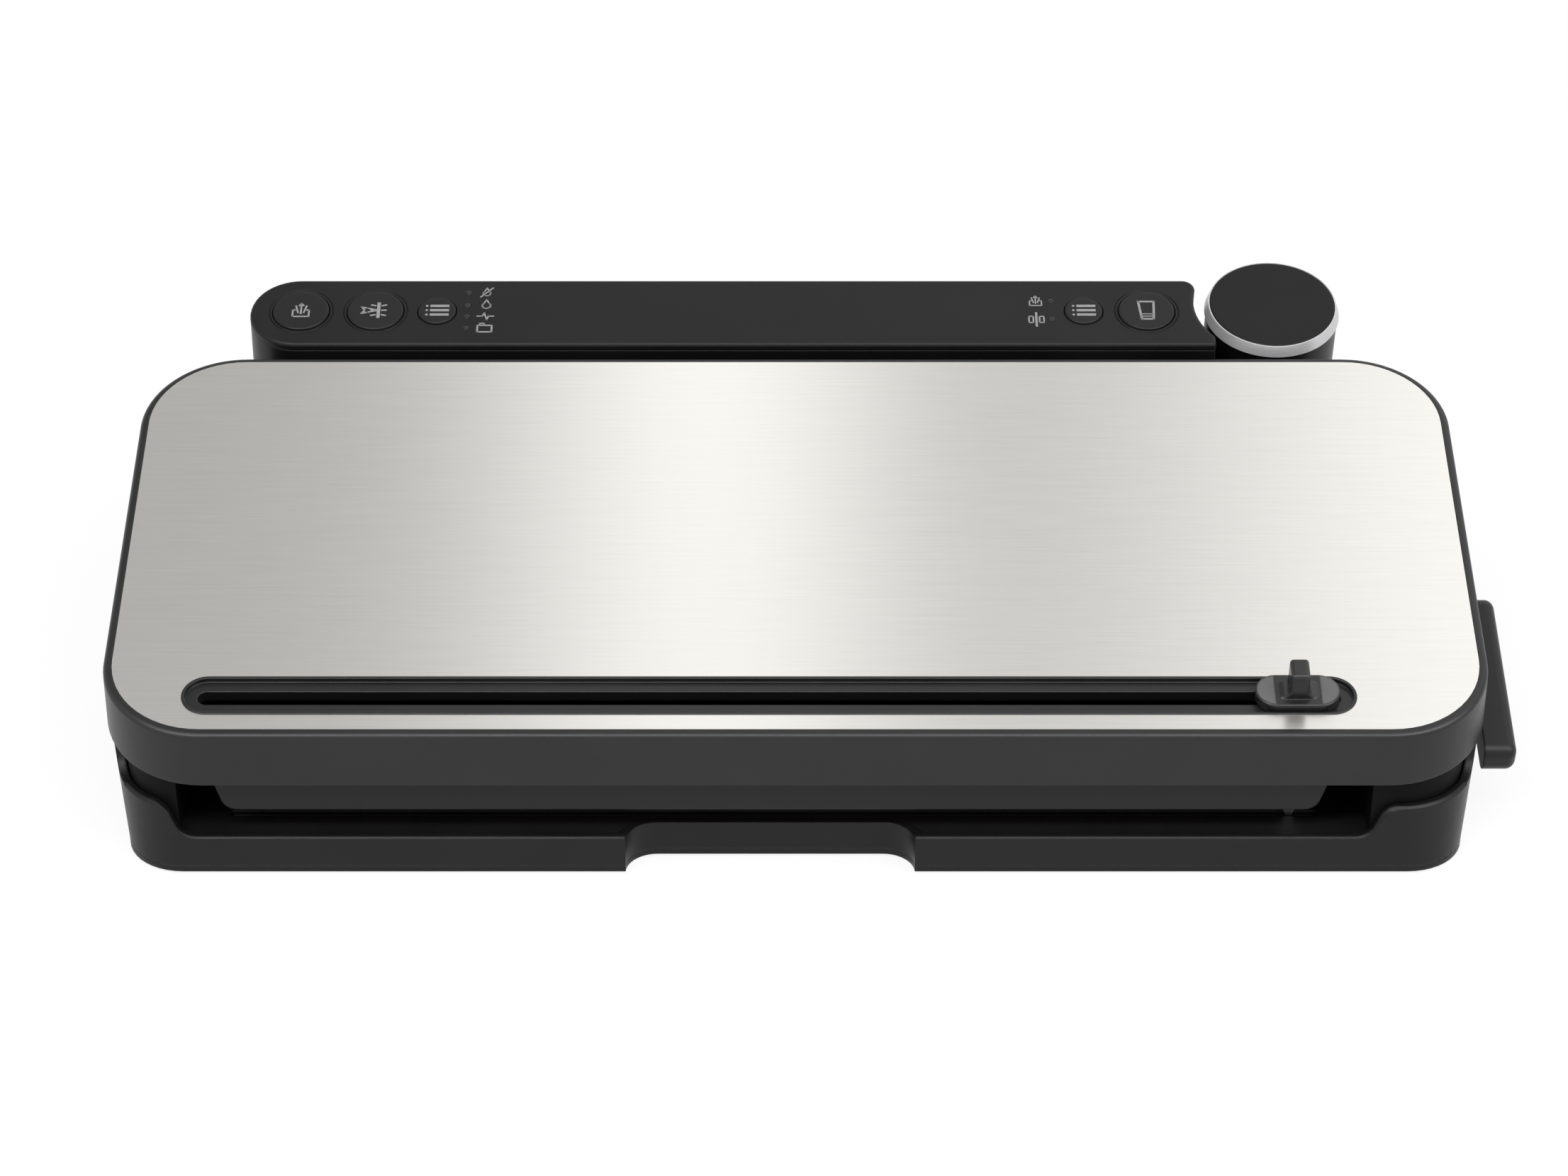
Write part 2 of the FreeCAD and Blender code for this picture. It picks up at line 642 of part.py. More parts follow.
def hinge_lugs():
    """Four lugs inside the lid, a pair beside each hinge post."""
    radius = HINGE_POST_RADIUS + 0.6
    lugs = []
    for x in HINGE_POST_X:
        for side in (-1, 1):
            near = x + side * (HINGE_POST_WIDTH / 2 + SIDE_CLEARANCE)
            span = sorted((near, near + side * HINGE_LUG_WIDTH))
            eye = cross_rod(radius, span, HINGE_Y, HINGE_Z)
            web = box(span, (HINGE_Y - radius, HINGE_Y + radius), (HINGE_Z, HINGE_Z + FAR / 8))
            lugs.append(joined(eye, web).common(lid_block(LID_SKIN / 2, LID_SKIN / 2, LID_WALL_HEIGHT)))
    return lugs


def hinge_pin(x):
    """A pin through a hinge post and the lugs on both sides of it."""
    reach = HINGE_POST_WIDTH / 2 + SIDE_CLEARANCE + HINGE_LUG_WIDTH
    return cross_rod(HINGE_PIN_RADIUS, (x - reach, x + reach), HINGE_Y, HINGE_Z)


def make_lid_shell():
    """The moulded lid: rim, walls and hinge lugs, with a seat for the steel plate."""
    outer = lid_block(0.0, 0.0, LID_WALL_HEIGHT)
    outer = round_edges(outer, LID_EDGE_ROUND, lambda b, e: on_lid_plane(e))
    shell = outer.cut(lid_block(LID_SKIN, LID_SKIN, FAR / 4))
    shell = joined(shell, *hinge_lugs(), *lid_posts())
    half = LID_WIDTH / 2 - RIM
    seat = rectangle((-half, half), (RIM, LID_DEPTH - RIM), LID_CORNER - RIM)
    shell = shell.cut(on_slope(plan_prism(seat, (-PLATE_THICKNESS, 5.0))))
    shell = shell.cut(track_hole(0.0, (-20.0, 5.0)))
    for x in HINGE_POST_X:
        notch_x = grown((x, x), HINGE_POST_WIDTH / 2 + SIDE_CLEARANCE)
        notch_z = (0.0, HINGE_Z + HINGE_POST_RADIUS + 0.5)
        shell = shell.cut(box(notch_x, (HINGE_Y, FAR), notch_z))
        shell = shell.cut(cross_rod(HINGE_PIN_RADIUS, (x - 30.0, x + 30.0), HINGE_Y, HINGE_Z))
    return shell


def on_lid_plane(edge):
    """True for an edge that lies in the lid's top plane."""
    return all(abs(vertex.Z - lid_top_z(vertex.Y)) < 1e-3 for vertex in edge.Vertexes)


def make_steel_plate():
    """The brushed steel plate let into the lid's top."""
    half = LID_WIDTH / 2 - RIM
    outline = rectangle((-half, half), (RIM, LID_DEPTH - RIM), LID_CORNER - RIM)
    plate = plan_prism(outline, (-PLATE_THICKNESS, 0.0))
    return on_slope(plate).cut(track_hole(0.0, (-5.0, 5.0)))


def make_cutter_track():
    """The black trough that the cutter slides in, with a through channel in its floor."""
    z = (-TRACK_DEPTH - TRACK_FLOOR, 0.3)
    track = stadium(TRACK_X, TRACK_Y, TRACK_WIDTH, z)
    track = round_edges(track, 0.25, lambda b, e: b.ZMin > 0.2)
    wall = 1.0
    trough = stadium(grown(TRACK_X, -wall), TRACK_Y, TRACK_WIDTH - 2 * wall, (-TRACK_DEPTH, 5.0))
    channel = stadium(grown(TRACK_X, -CHANNEL_IN), TRACK_Y, CHANNEL_WIDTH, (-20.0, 5.0))
    return on_slope(track.cut(trough).cut(channel))


def make_cutter_slider():
    """The thumb slider: a flat shoe with a waisted tab across its middle."""
    half = SLIDER_LENGTH / 2
    shoe_z = (-TRACK_DEPTH + 0.3, SHOE_RISE)
    shoe = stadium((SLIDER_X - half, SLIDER_X + half), TRACK_Y, SLIDER_WIDTH, shoe_z)
    shoe = round_edges(shoe, 0.5, lambda b, e: b.ZMin > shoe_z[1] - 0.1)
    top = shoe_z[1] + TAB_HEIGHT
    narrow = TAB_WIDTH / 2
    wide = narrow + TAB_FLARE + 0.4
    corners = [
        (SLIDER_X - wide, shoe_z[0], 0), (SLIDER_X + wide, shoe_z[0], 0), (SLIDER_X + wide, shoe_z[1], 0),
        (SLIDER_X + narrow, shoe_z[1], TAB_FLARE), (SLIDER_X + narrow, top, 1.2),
        (SLIDER_X - narrow, top, 1.2), (SLIDER_X - narrow, shoe_z[1], TAB_FLARE),
        (SLIDER_X - wide, shoe_z[1], 0),
    ]
    tab = front_prism(corners, (TRACK_Y - TAB_DEPTH / 2, TRACK_Y + TAB_DEPTH / 2))
    tab = round_edges(tab, TAB_ROUND, lambda b, e: b.ZMin > top - 1.3 and b.YLength < EPS)
    neck_x = (SLIDER_X - CARRIER_LENGTH / 2, SLIDER_X + CARRIER_LENGTH / 2)
    neck_y = (TRACK_Y - CARRIER_THICKNESS / 2, TRACK_Y + CARRIER_THICKNESS / 2)
    neck = box(neck_x, neck_y, (-TRACK_DEPTH - TRACK_FLOOR - 0.4, shoe_z[0]))
    return on_slope(joined(shoe, tab, neck))


def make_blade_carrier():
    """The slim arm under the track that holds the blade down at the bag."""
    x = (SLIDER_X - CARRIER_LENGTH / 2, SLIDER_X + CARRIER_LENGTH / 2)
    foot_top = -TRACK_DEPTH - TRACK_FLOOR - 0.4
    foot = on_slope(box(x, (TRACK_Y - 4.5, TRACK_Y + 4.5), (foot_top - 2.0, foot_top)))
    y = (CUT_Y - CARRIER_THICKNESS / 2, CUT_Y + CARRIER_THICKNESS / 2)
    top = slope_point(0, TRACK_Y, foot_top - 1.0).z
    arm = box(x, y, (JAW_BOTTOM_Z - 3.2, top))
    slit = box(x, (CUT_Y - BLADE_THICKNESS / 2, CUT_Y + BLADE_THICKNESS / 2), (0.0, JAW_BOTTOM_Z + 4.0))
    return joined(foot, arm).cut(slit)


def make_cutter_blade():
    """A steel blade whose edge slopes down from both sides to a narrow tip."""
    left = SLIDER_X - CARRIER_LENGTH / 2
    right = SLIDER_X + CARRIER_LENGTH / 2
    top = JAW_BOTTOM_Z + 4.0
    shoulder = JAW_BOTTOM_Z - 3.0
    tip = DECK_TOP_Z - BLADE_GROOVE_DEPTH + 0.6
    corners = [
        (left, top, 0), (left, shoulder, 0), (SLIDER_X - 0.6, tip, 0),
        (SLIDER_X + 0.6, tip, 0), (right, shoulder, 0), (right, top, 0),
    ]
    return front_prism(corners, (CUT_Y - BLADE_THICKNESS / 2, CUT_Y + BLADE_THICKNESS / 2))


def jaw_block(inset, y, low):
    """The jaw under the lid's front, as a full block with slanted ends."""
    top = lid_top_z(JAW_REAR_Y)
    share = (top - JAW_BOTTOM_Z) / (JAW_TOP_Z - JAW_BOTTOM_Z)
    left, right = [low_x + share * (high_x - low_x) for low_x, high_x in zip(JAW_BOTTOM_X, JAW_TOP_X)]
    corner = JAW_CORNER - inset
    corners = [
        (JAW_BOTTOM_X[0] + inset, low, corner), (JAW_BOTTOM_X[1] - inset, low, corner),
        (right - inset, top, 0), (left + inset, top, 0),
    ]
    return front_prism(corners, y)


def make_lid_liner():
    """Underside of the lid: a plate, and the hollow jaw that reaches down to the bag."""
    plate = lid_block(LID_SKIN + 0.4, LINER_DROP, LINER_THICKNESS)
    plate = plate.cut(box((-FAR, FAR), (HINGE_Y - 14.0, FAR), (-FAR, FAR)))
    jaw = jaw_block(0.0, (JAW_FRONT_Y, JAW_REAR_Y), JAW_BOTTOM_Z)
    jaw = jaw.common(below_slope(LINER_DROP))
    inside_y = (JAW_FRONT_Y + JAW_WALL, JAW_REAR_Y - JAW_WALL)
    inside = jaw_block(JAW_WALL, inside_y, JAW_BOTTOM_Z + JAW_WALL)
    liner = joined(plate, jaw).cut(inside)
    slack = CARRIER_LENGTH / 2 + 0.4
    slot_x = (SLIDER_X - CUTTER_TRAVEL - slack, SLIDER_X + slack)
    slot_y = (CUT_Y - CARRIER_THICKNESS / 2 - 0.5, CUT_Y + CARRIER_THICKNESS / 2 + 0.5)
    liner = liner.cut(box(slot_x, slot_y, (0.0, JAW_BOTTOM_Z + 5.0)))
    for spot in liner_screw_spots():
        liner = liner.cut(rod(1.3, spot + (0.0,), spot + (FAR / 3,)))
    return liner


def liner_screw_spots():
    """Places of the screws that hold the liner up in the lid."""
    side = LID_WIDTH / 2 - 15.0
    sides = [(x, y) for x in (-side, side) for y in (40.0, BAY_REAR_Y - 30.0)]
    return sides + [(-60.0, BAY_REAR_Y - 40.0), (60.0, BAY_REAR_Y - 40.0)]


def make_liner_screws():
    """Pan-head screws under the liner, and the lid's posts reach down to them."""
    screws = []
    for x, y in liner_screw_spots():
        seat = lid_top_z(y) - LINER_DROP - LINER_THICKNESS - 0.6
        head = rod(2.6, (x, y, seat - 1.4), (x, y, seat))
        shank = rod(1.3, (x, y, seat), (x, y, lid_top_z(y) - LID_SKIN - 2.0))
        screws.append(joined(head, shank))
    return screws


def lid_posts():
    """Screw posts inside the lid, above the liner."""
    posts = []
    for x, y in liner_screw_spots():
        post = rod(3.2, (x, y, 0.0), (x, y, FAR / 4))
        post = post.common(lid_block(LID_SKIN, LID_SKIN / 2, LINER_DROP - LID_SKIN / 2))
        hole = rod(1.3, (x, y, 0.0), (x, y, lid_top_z(y) - LID_SKIN - 2.0))
        posts.append(post.cut(hole))
    return posts


def catch(x):
    """A tongue under the lid with a foot that the latch hook passes over."""
    half = HOOK_WIDTH / 2
    span = (x - half, x + half)
    foot_tip = LATCH_Y - 2.2 - HOOK_NOSE - 0.4
    stem = (foot_tip - 5.5, foot_tip - 2.9)
    foot_z = (LATCH_Z + 2.6, LATCH_Z + 4.9)
    foot = box(span, (stem[0], foot_tip), foot_z)
    post = box(span, stem, (foot_z[0], FAR / 4)).common(below_slope(LINER_DROP + LINER_THICKNESS))
    return joined(foot, post)


def make_latch_lever():
    """The side paddle, sloping down to the front, with a bevelled outer edge."""
    half = LEVER_DEPTH / 2
    corners = [
        (-LEVER_FRONT, -half, 4.6), (LEVER_REAR, -half, 4.6),
        (LEVER_REAR, half, 5.0), (-LEVER_FRONT, half, 3.4),
    ]
    lever = side_prism(corners, LEVER_X)
    lever = round_edges(lever, LEVER_EDGE, lambda b, e: b.XMin > LEVER_X[1] - 0.01)
    lever.rotate(Vector(0, 0, 0), ACROSS, LEVER_TILT)
    lever.translate(Vector(0, LATCH_Y, LATCH_Z))
    return lever.cut(cross_rod(LATCH_SHAFT_RADIUS, (0.0, LEVER_X[0] + 5.0), LATCH_Y, LATCH_Z))


def make_latch_shaft():
    """The cross shaft that turns both hooks."""
    left = -BASE_TOP_HALF + BASE_WALL + 0.8
    return cross_rod(LATCH_SHAFT_RADIUS, (left, LEVER_X[0] + 5.0), LATCH_Y, LATCH_Z)


def make_latch_bushes():
    """Plain bearings for the shaft: one through the right wall, one against the left wall."""
    inner = BASE_TOP_HALF - BASE_WALL
    hole = LATCH_SHAFT_RADIUS + RUNNING_CLEARANCE
    bushes = []
    for span in ((DECK_HALF + 0.3, LEVER_X[0] - 0.5), (-inner + 0.5, -DECK_HALF - 0.3)):
        ring = cross_rod(BUSH_RADIUS, span, LATCH_Y, LATCH_Z)
        bushes.append(ring.cut(cross_rod(hole, grown(span, 1.0), LATCH_Y, LATCH_Z)))
    return bushes


def hook(x):
    """A latch hook on the shaft, with its nose towards the front."""
    half = HOOK_WIDTH / 2
    span = (x - half, x + half)
    hub = cross_rod(LATCH_SHAFT_RADIUS + 2.2, span, LATCH_Y, LATCH_Z)
    arm_y = (LATCH_Y - 2.2, LATCH_Y + 2.2)
    arm = box(span, arm_y, (LATCH_Z, LATCH_Z + HOOK_REACH))
    top = LATCH_Z + HOOK_REACH
    nose = box(span, (arm_y[0] - HOOK_NOSE, arm_y[1]), (top - 2.4, top))
    bore = cross_rod(LATCH_SHAFT_RADIUS, grown(span, 1.0), LATCH_Y, LATCH_Z)
    return joined(hub, arm, nose).cut(bore)


def dock_cylinder(radius):
    """A long cylinder on the handheld sealer's axis, square to the slope."""
    return on_slope(rod(radius, (HANDHELD_X, HANDHELD_Y, -FAR / 2), (HANDHELD_X, HANDHELD_Y, FAR / 8)))


def panel_block(inset, z):
    """The control panel's outline on the slope, hollowed at its right end for the handheld sealer."""
    x = grown(PANEL_X, -inset)
    y = grown(PANEL_Y, -inset)
    end = PANEL_END_RADIUS - inset
    corners = [(x[0], y[0], end), (x[1], y[0], 0), (x[1], y[1], 0), (x[0], y[1], end)]
    gap = rod(DOCK_GAP + inset, (HANDHELD_X, HANDHELD_Y, -FAR), (HANDHELD_X, HANDHELD_Y, FAR))
    block = plan_prism(corners, z).cut(gap)
    if inset > 0:
        return block
    middle = sum(PANEL_Y) / 2
    block = round_edges(
        block, PANEL_CORNERS[0], lambda b, e: b.ZLength > 0.1 and b.XMin > 0 and b.YMax < middle,
    )
    return round_edges(
        block, PANEL_CORNERS[1], lambda b, e: b.ZLength > 0.1 and b.XMin > 0 and b.YMin > middle,
    )


def bulge_corners(inset):
    """The wide lower part of the tower, seen from above."""
    x = grown((PANEL_X[0] + 2.0, HANDHELD_X - 4.0), -inset)
    y = (BASE_REAR + inset, BULGE_REAR_Y - inset)
    corner = BULGE_END_RADIUS - inset
    return [(x[0], y[0], 0), (x[1], y[0], 0), (x[1], y[1], corner), (x[0], y[1], corner)]


def tower_block(inset, drop):
    """The tower as a full block, under the panel and down to the floor plate."""
    top = PANEL_RISE - PANEL_THICKNESS - drop
    slab = panel_block(inset, (top - 1.0, top))
    face = next(face for face in slab.Faces if face.BoundBox.ZMin > top - 0.01)
    upper = on_slope(face).extrude(UP * -FAR / 2)
    lower = plan_prism(bulge_corners(inset), (COVER_TOP_Z, BULGE_TOP_Z - inset))
    block = joined(upper, lower).common(box((-FAR, FAR), (BASE_REAR + inset, FAR), (COVER_TOP_Z, FAR)))
    return block.cut(dock_cylinder(DOCK_GAP + inset))


def make_rear_housing():
    """Walls of the control tower, with a wider lower half at the back."""
    shell = tower_block(0.0, 0.0).cut(tower_block(TOWER_WALL, -5.0))
    gland_y = grown((BULGE_REAR_Y, BULGE_REAR_Y), 10.0)
    gland = rod(GLAND_RADIUS, (GLAND_X, gland_y[0], GLAND_Z), (GLAND_X, gland_y[1], GLAND_Z))
    dock_hole = cross_rod(HOSE_RADIUS + 0.2, (PUMP_X[1], FAR), DOCK_HOSE_Y, DOCK_HOSE_Z)
    shell = shell.cut(gland).cut(hose_room()).cut(dock_hole)
    bosses = [rod(3.6, (x, y, COVER_TOP_Z), (x, y, 22.0)) for x, y in tower_screw_spots()]
    shell = joined(shell, *bosses)
    for x, y in tower_screw_spots():
        shell = shell.cut(rod(1.4, (x, y, 0.0), (x, y, 16.0)))
    return shell


def tower_screw_spots():
    """Places of the screws that hold the floor plate to the tower."""
    return [(x, BASE_REAR + TOWER_WALL + 2.6) for x in (-156.0, -20.0, 112.0)]


def button_spots():
    """Every button: its name, place along the panel and radius."""
    large = zip(("vacuum_seal_button", "seal_button", "handheld_button"), LARGE_BUTTON_X)
    small = zip(("food_mode_button", "speed_button"), SMALL_BUTTON_X)
    spots = [(name, x, LARGE_BUTTON_RADIUS) for name, x in large]
    return spots + [(name, x, SMALL_BUTTON_RADIUS) for name, x in small]


def panel_lens_spots():
    """Places of the indicator lenses on the slope."""
    left = [(LEFT_LENS_X, y) for y in LEFT_LENS_Y]
    return left + [(RIGHT_LENS_X, y) for y in RIGHT_LENS_Y]


def board_screw_spots():
    """Places where the control board hangs from the panel's posts."""
    return [(x, BUTTON_Y - 9.0) for x in (-146.5, -60.0, 30.0, 102.0)]


def make_control_panel():
    """The panel on top of the tower, with button holes, ring grooves and board posts."""
    z = (PANEL_RISE - PANEL_THICKNESS, PANEL_RISE)
    panel = panel_block(0.0, z)
    panel = round_edges(panel, 1.2, lambda b, e: b.ZMin > z[1] - 0.01)
    for _, x, radius in button_spots():
        hole = radius + BUTTON_CLEARANCE
        panel = panel.cut(rod(hole, (x, BUTTON_Y, -50.0), (x, BUTTON_Y, 50.0)))
        if radius == LARGE_BUTTON_RADIUS:
            groove = rod(radius + 1.45, (x, BUTTON_Y, z[1] - 0.35), (x, BUTTON_Y, z[1] + 1.0))
            core = rod(radius + 1.0, (x, BUTTON_Y, z[1] - 0.5), (x, BUTTON_Y, z[1] + 1.5))
            panel = panel.cut(groove.cut(core))
    for x, y in panel_lens_spots():
        panel = panel.cut(rod(LENS_RADIUS, (x, y, -50.0), (x, y, 50.0)))
    posts = []
    for x, y in board_screw_spots():
        post = rod(2.6, (x, y, PANEL_RISE - BOARD_DROP), (x, y, z[0]))
        posts.append(post.cut(rod(1.1, (x, y, -50.0), (x, y, z[0] - 1.0))))
    return on_slope(joined(panel, *posts))


def button(x, radius):
    """A round push button with a flange that keeps it in the panel and a stem to its switch."""
    top = PANEL_RISE + BUTTON_PROUD
    under = PANEL_RISE - PANEL_THICKNESS - 0.3
    disc = rod(radius, (x, BUTTON_Y, under), (x, BUTTON_Y, top))
    disc = round_edges(disc, 0.5, lambda b, e: b.ZMin > top - 0.01)
    flange = rod(radius + BUTTON_FLANGE, (x, BUTTON_Y, under - 1.0), (x, BUTTON_Y, under))
    stem = rod(STEM_RADIUS, (x, BUTTON_Y, switch_top() + BUTTON_TRAVEL + 0.1), (x, BUTTON_Y, under))
    return on_slope(joined(disc, flange, stem))


def switch_top():
    """Height of the switches' tops on the slope."""
    return PANEL_RISE - BOARD_DROP + 3.4


def make_control_board():
    """The circuit board behind the panel."""
    z = (PANEL_RISE - BOARD_DROP - BOARD_THICKNESS, PANEL_RISE - BOARD_DROP)
    x = (PANEL_X[0] + PANEL_END_RADIUS - 2.6, HANDHELD_X - DOCK_GAP - TOWER_WALL - 2.5)
    y = (BUTTON_Y - 12.4, BUTTON_Y + 8.6)
    board = box(x, y, z)
    for hole_x, hole_y in board_screw_spots():
        board = board.cut(rod(1.1, (hole_x, hole_y, -50.0), (hole_x, hole_y, 50.0)))
    return on_slope(board)


def make_board_screws():
    """Screws up through the control board into the panel's posts."""
    top = PANEL_RISE - BOARD_DROP - BOARD_THICKNESS
    screws = []
    for x, y in board_screw_spots():
        head = rod(2.2, (x, y, top - 1.5), (x, y, top))
        shank = rod(1.1, (x, y, top), (x, y, PANEL_RISE - PANEL_THICKNESS - 2.0))
        screws.append(on_slope(joined(head, shank)))
    return screws


def make_tact_switches():
    """A small switch under each button."""
    switches = []
    half = SWITCH_SIDE / 2
    for _, x, _ in button_spots():
        base = PANEL_RISE - BOARD_DROP
        body = box((x - half, x + half), (BUTTON_Y - half, BUTTON_Y + half), (base, switch_top() - 0.8))
        cap = rod(1.7, (x, BUTTON_Y, switch_top() - 0.8), (x, BUTTON_Y, switch_top()))
        switches.append(on_slope(joined(body, cap)))
    return switches


def make_indicator_lenses():
    """Light pipes in the panel, each standing on its lamp on the board."""
    lenses = []
    for x, y in panel_lens_spots():
        pipe = rod(LENS_RADIUS, (x, y, PANEL_RISE - BOARD_DROP), (x, y, PANEL_RISE + 0.05))
        lenses.append(on_slope(pipe))
    return lenses


def make_pump_motor():
    """The motor's can, with a bearing hole in each end."""
    can = cross_rod(MOTOR_RADIUS, MOTOR_X, MOTOR_Y, MOTOR_Z)
    inside = cross_rod(MOTOR_RADIUS - MOTOR_WALL, grown(MOTOR_X, -MOTOR_WALL), MOTOR_Y, MOTOR_Z)
    bearing = cross_rod(MOTOR_SHAFT_RADIUS + RUNNING_CLEARANCE, grown(MOTOR_X, 1.0), MOTOR_Y, MOTOR_Z)
    return can.cut(inside).cut(bearing)


def make_pump_rotor():
    """The motor's armature and shaft, with the cam that drives the pump."""
    radius = MOTOR_RADIUS - MOTOR_WALL - MOTOR_GAP
    armature = cross_rod(radius, grown(MOTOR_X, -MOTOR_WALL - 1.0), MOTOR_Y, MOTOR_Z)
    shaft_x = (MOTOR_X[0] + 0.3, PUMP_X[0] + 20.0)
    shaft = cross_rod(MOTOR_SHAFT_RADIUS, shaft_x, MOTOR_Y, MOTOR_Z)
    cam_x = (PUMP_X[0] + 7.0, PUMP_X[0] + 17.0)
    cam = cross_rod(CAM_RADIUS, cam_x, MOTOR_Y, MOTOR_Z + CAM_THROW)
    return joined(armature, shaft, cam)


def make_pump_head():
    """The diaphragm pump's block, its cam chamber and the spigot for the vacuum hose."""
    head = box(PUMP_X, PUMP_Y, PUMP_Z)
    head = round_edges(head, 2.0, lambda b, e: b.XLength > 30)
    bearing = MOTOR_SHAFT_RADIUS + RUNNING_CLEARANCE
    chamber_x = (PUMP_X[0] + 5.0, PUMP_X[0] + 24.0)
    chamber = cross_rod(CAM_RADIUS + CAM_THROW + 1.0, chamber_x, MOTOR_Y, MOTOR_Z)
    way = cross_rod(bearing, (PUMP_X[0] - 1.0, chamber_x[0] + 1.0), MOTOR_Y, MOTOR_Z)
    spigot_y = (HOSE_END_Y, HOSE_END_Y + 10.0)
    spigot = box(grown((HOSE_X, HOSE_X), 5.0), spigot_y, (COVER_TOP_Z + 0.3, PUMP_Z[0] + 2.0))
    return joined(head.cut(chamber).cut(way), spigot)


def make_pump_mounts():
    """Rubber blocks that carry the pump."""
    mounts = []
    for x in (PUMP_X[0] + 5.0, PUMP_X[1] - 5.0):
        mounts.append(box(grown((x, x), 3.5), grown((MOTOR_Y, MOTOR_Y), 11.0), (COVER_TOP_Z, PUMP_Z[0])))
    return mounts


def make_motor_cradle():
    """A bracket on the floor plate, hollowed to take the motor."""
    x = grown(MOTOR_X, -10.0)
    cradle = box(x, grown((MOTOR_Y, MOTOR_Y), MOTOR_RADIUS - 2.0), (COVER_TOP_Z, MOTOR_Z - 5.0))
    return cradle.cut(cross_rod(MOTOR_RADIUS + RUNNING_CLEARANCE, MOTOR_X, MOTOR_Y, MOTOR_Z))


def make_air_valve():
    """The valve block on the pump that lets air back in."""
    x = grown((HOSE_X, HOSE_X), VALVE_SIZE[0] / 2)
    y = (PUMP_Y[0] + 1.0, PUMP_Y[0] + 1.0 + VALVE_SIZE[1])
    top = PUMP_Z[1] + VALVE_SIZE[2]
    body = box(x, y, (PUMP_Z[1], top))
    body = round_edges(body, 1.5, lambda b, e: b.ZLength > 10)
    middle = sum(y) / 2
    coil = rod(5.0, (HOSE_X, middle, top), (HOSE_X, middle, top + 5.0))
    return joined(body, coil)


def make_vacuum_hose():
    """The straight hose under the roll bay, from the vacuum channel to the pump."""
    ends = ((HOSE_X, CHANNEL_Y[1] + DECK_WALL, HOSE_Z), (HOSE_X, HOSE_END_Y, HOSE_Z))
    return rod(HOSE_RADIUS, *ends).cut(rod(HOSE_BORE, *ends))


def make_dock_hose():
    """The short hose from the pump to the handheld sealer's dock."""
    x = (PUMP_X[1], HANDHELD_X)
    tube = cross_rod(HOSE_RADIUS, x, DOCK_HOSE_Y, DOCK_HOSE_Z)
    return tube.cut(cross_rod(HOSE_BORE, x, DOCK_HOSE_Y, DOCK_HOSE_Z)).cut(dock_cylinder(DOCK_RADIUS))


def make_transformer():
    """A laminated core with two windows, and the coil wound round its middle limb."""
    half = CORE_SIZE[0] / 2
    y = grown((MOTOR_Y, MOTOR_Y), CORE_SIZE[1] / 2)
    z = (COVER_TOP_Z, COVER_TOP_Z + CORE_SIZE[2])
    core = box((TRANSFORMER_X - half, TRANSFORMER_X + half), y, z)
    window_z = grown(z, -LIMB * 0.8)
    windows = []
    for side in (-1, 1):
        x = sorted((TRANSFORMER_X + side * LIMB / 2, TRANSFORMER_X + side * (half - LIMB * 0.8)))
        windows.append(box(x, grown(y, 1.0), window_z))
    core = core.cut(windows[0]).cut(windows[1])
    coil_x = grown((TRANSFORMER_X, TRANSFORMER_X), half - LIMB * 0.8 - 0.3)
    coil = box(coil_x, grown((MOTOR_Y, MOTOR_Y), COIL_DEPTH / 2), grown(window_z, -0.3))
    coil = round_edges(coil, 3.0, lambda b, e: b.ZLength > 10)
    limb = box(grown((TRANSFORMER_X, TRANSFORMER_X), LIMB / 2), y, z)
    return core, coil.cut(limb)


def make_main_board():
    """The power board on edge behind the motor, with its larger parts."""
    y = (BULGE_REAR_Y - TOWER_WALL - 4.6, BULGE_REAR_Y - TOWER_WALL - 3.0)
    board = box(MAIN_BOARD_X, y, (COVER_TOP_Z, COVER_TOP_Z + MAIN_BOARD_HEIGHT))
    middle = COVER_TOP_Z + MAIN_BOARD_HEIGHT / 2
    left = MAIN_BOARD_X[0]
    relay = box((left + 8.0, left + 26.0), (y[0] - 15.0, y[0]), (middle - 7.0, middle + 8.0))
    fuse = cross_rod(2.6, (left + 34.0, left + 54.0), y[0] - 2.4, middle + 14.0)
    cans = []
    for i in range(3):
        x = left + 36.0 + 13.0 * i
        cans.append(rod(5.0, (x, y[0], middle - 4.0), (x, y[0] - 16.0, middle - 4.0)))
    return joined(board, relay, fuse, *cans)


def make_cord_gland():
    """The bush in the back wall where the mains lead goes in."""
    wall = BULGE_REAR_Y
    neck = rod(GLAND_RADIUS, (GLAND_X, wall - TOWER_WALL - 2.0, GLAND_Z), (GLAND_X, wall, GLAND_Z))
    flange = rod(GLAND_FLANGE, (GLAND_X, wall, GLAND_Z), (GLAND_X, wall + 2.4, GLAND_Z))
    flange = round_edges(flange, 1.0, lambda b, e: b.YMin > wall + 2.3)
    bore = rod(GLAND_BORE, (GLAND_X, wall - 10.0, GLAND_Z), (GLAND_X, wall + 10.0, GLAND_Z))
    return joined(neck, flange).cut(bore)


def make_lid_switch():
    """The switch on the latch bridge that tells when the lid is shut."""
    x = (HOOK_X - 18.0, HOOK_X - 8.0)
    y = (BRIDGE_Y[0] + 3.0, BRIDGE_Y[1] - 2.5)
    body = box(x, y, (BRIDGE_TOP_Z, BRIDGE_TOP_Z + 4.2))
    middle = (sum(x) / 2, y[1] - 2.5)
    return joined(body, rod(1.0, middle + (BRIDGE_TOP_Z + 4.2,), middle + (BRIDGE_TOP_Z + 5.2,)))


def handheld_rod(radius, low, high):
    """A cylinder on the handheld sealer's axis, still on the slope."""
    return rod(radius, (HANDHELD_X, HANDHELD_Y, low), (HANDHELD_X, HANDHELD_Y, high))


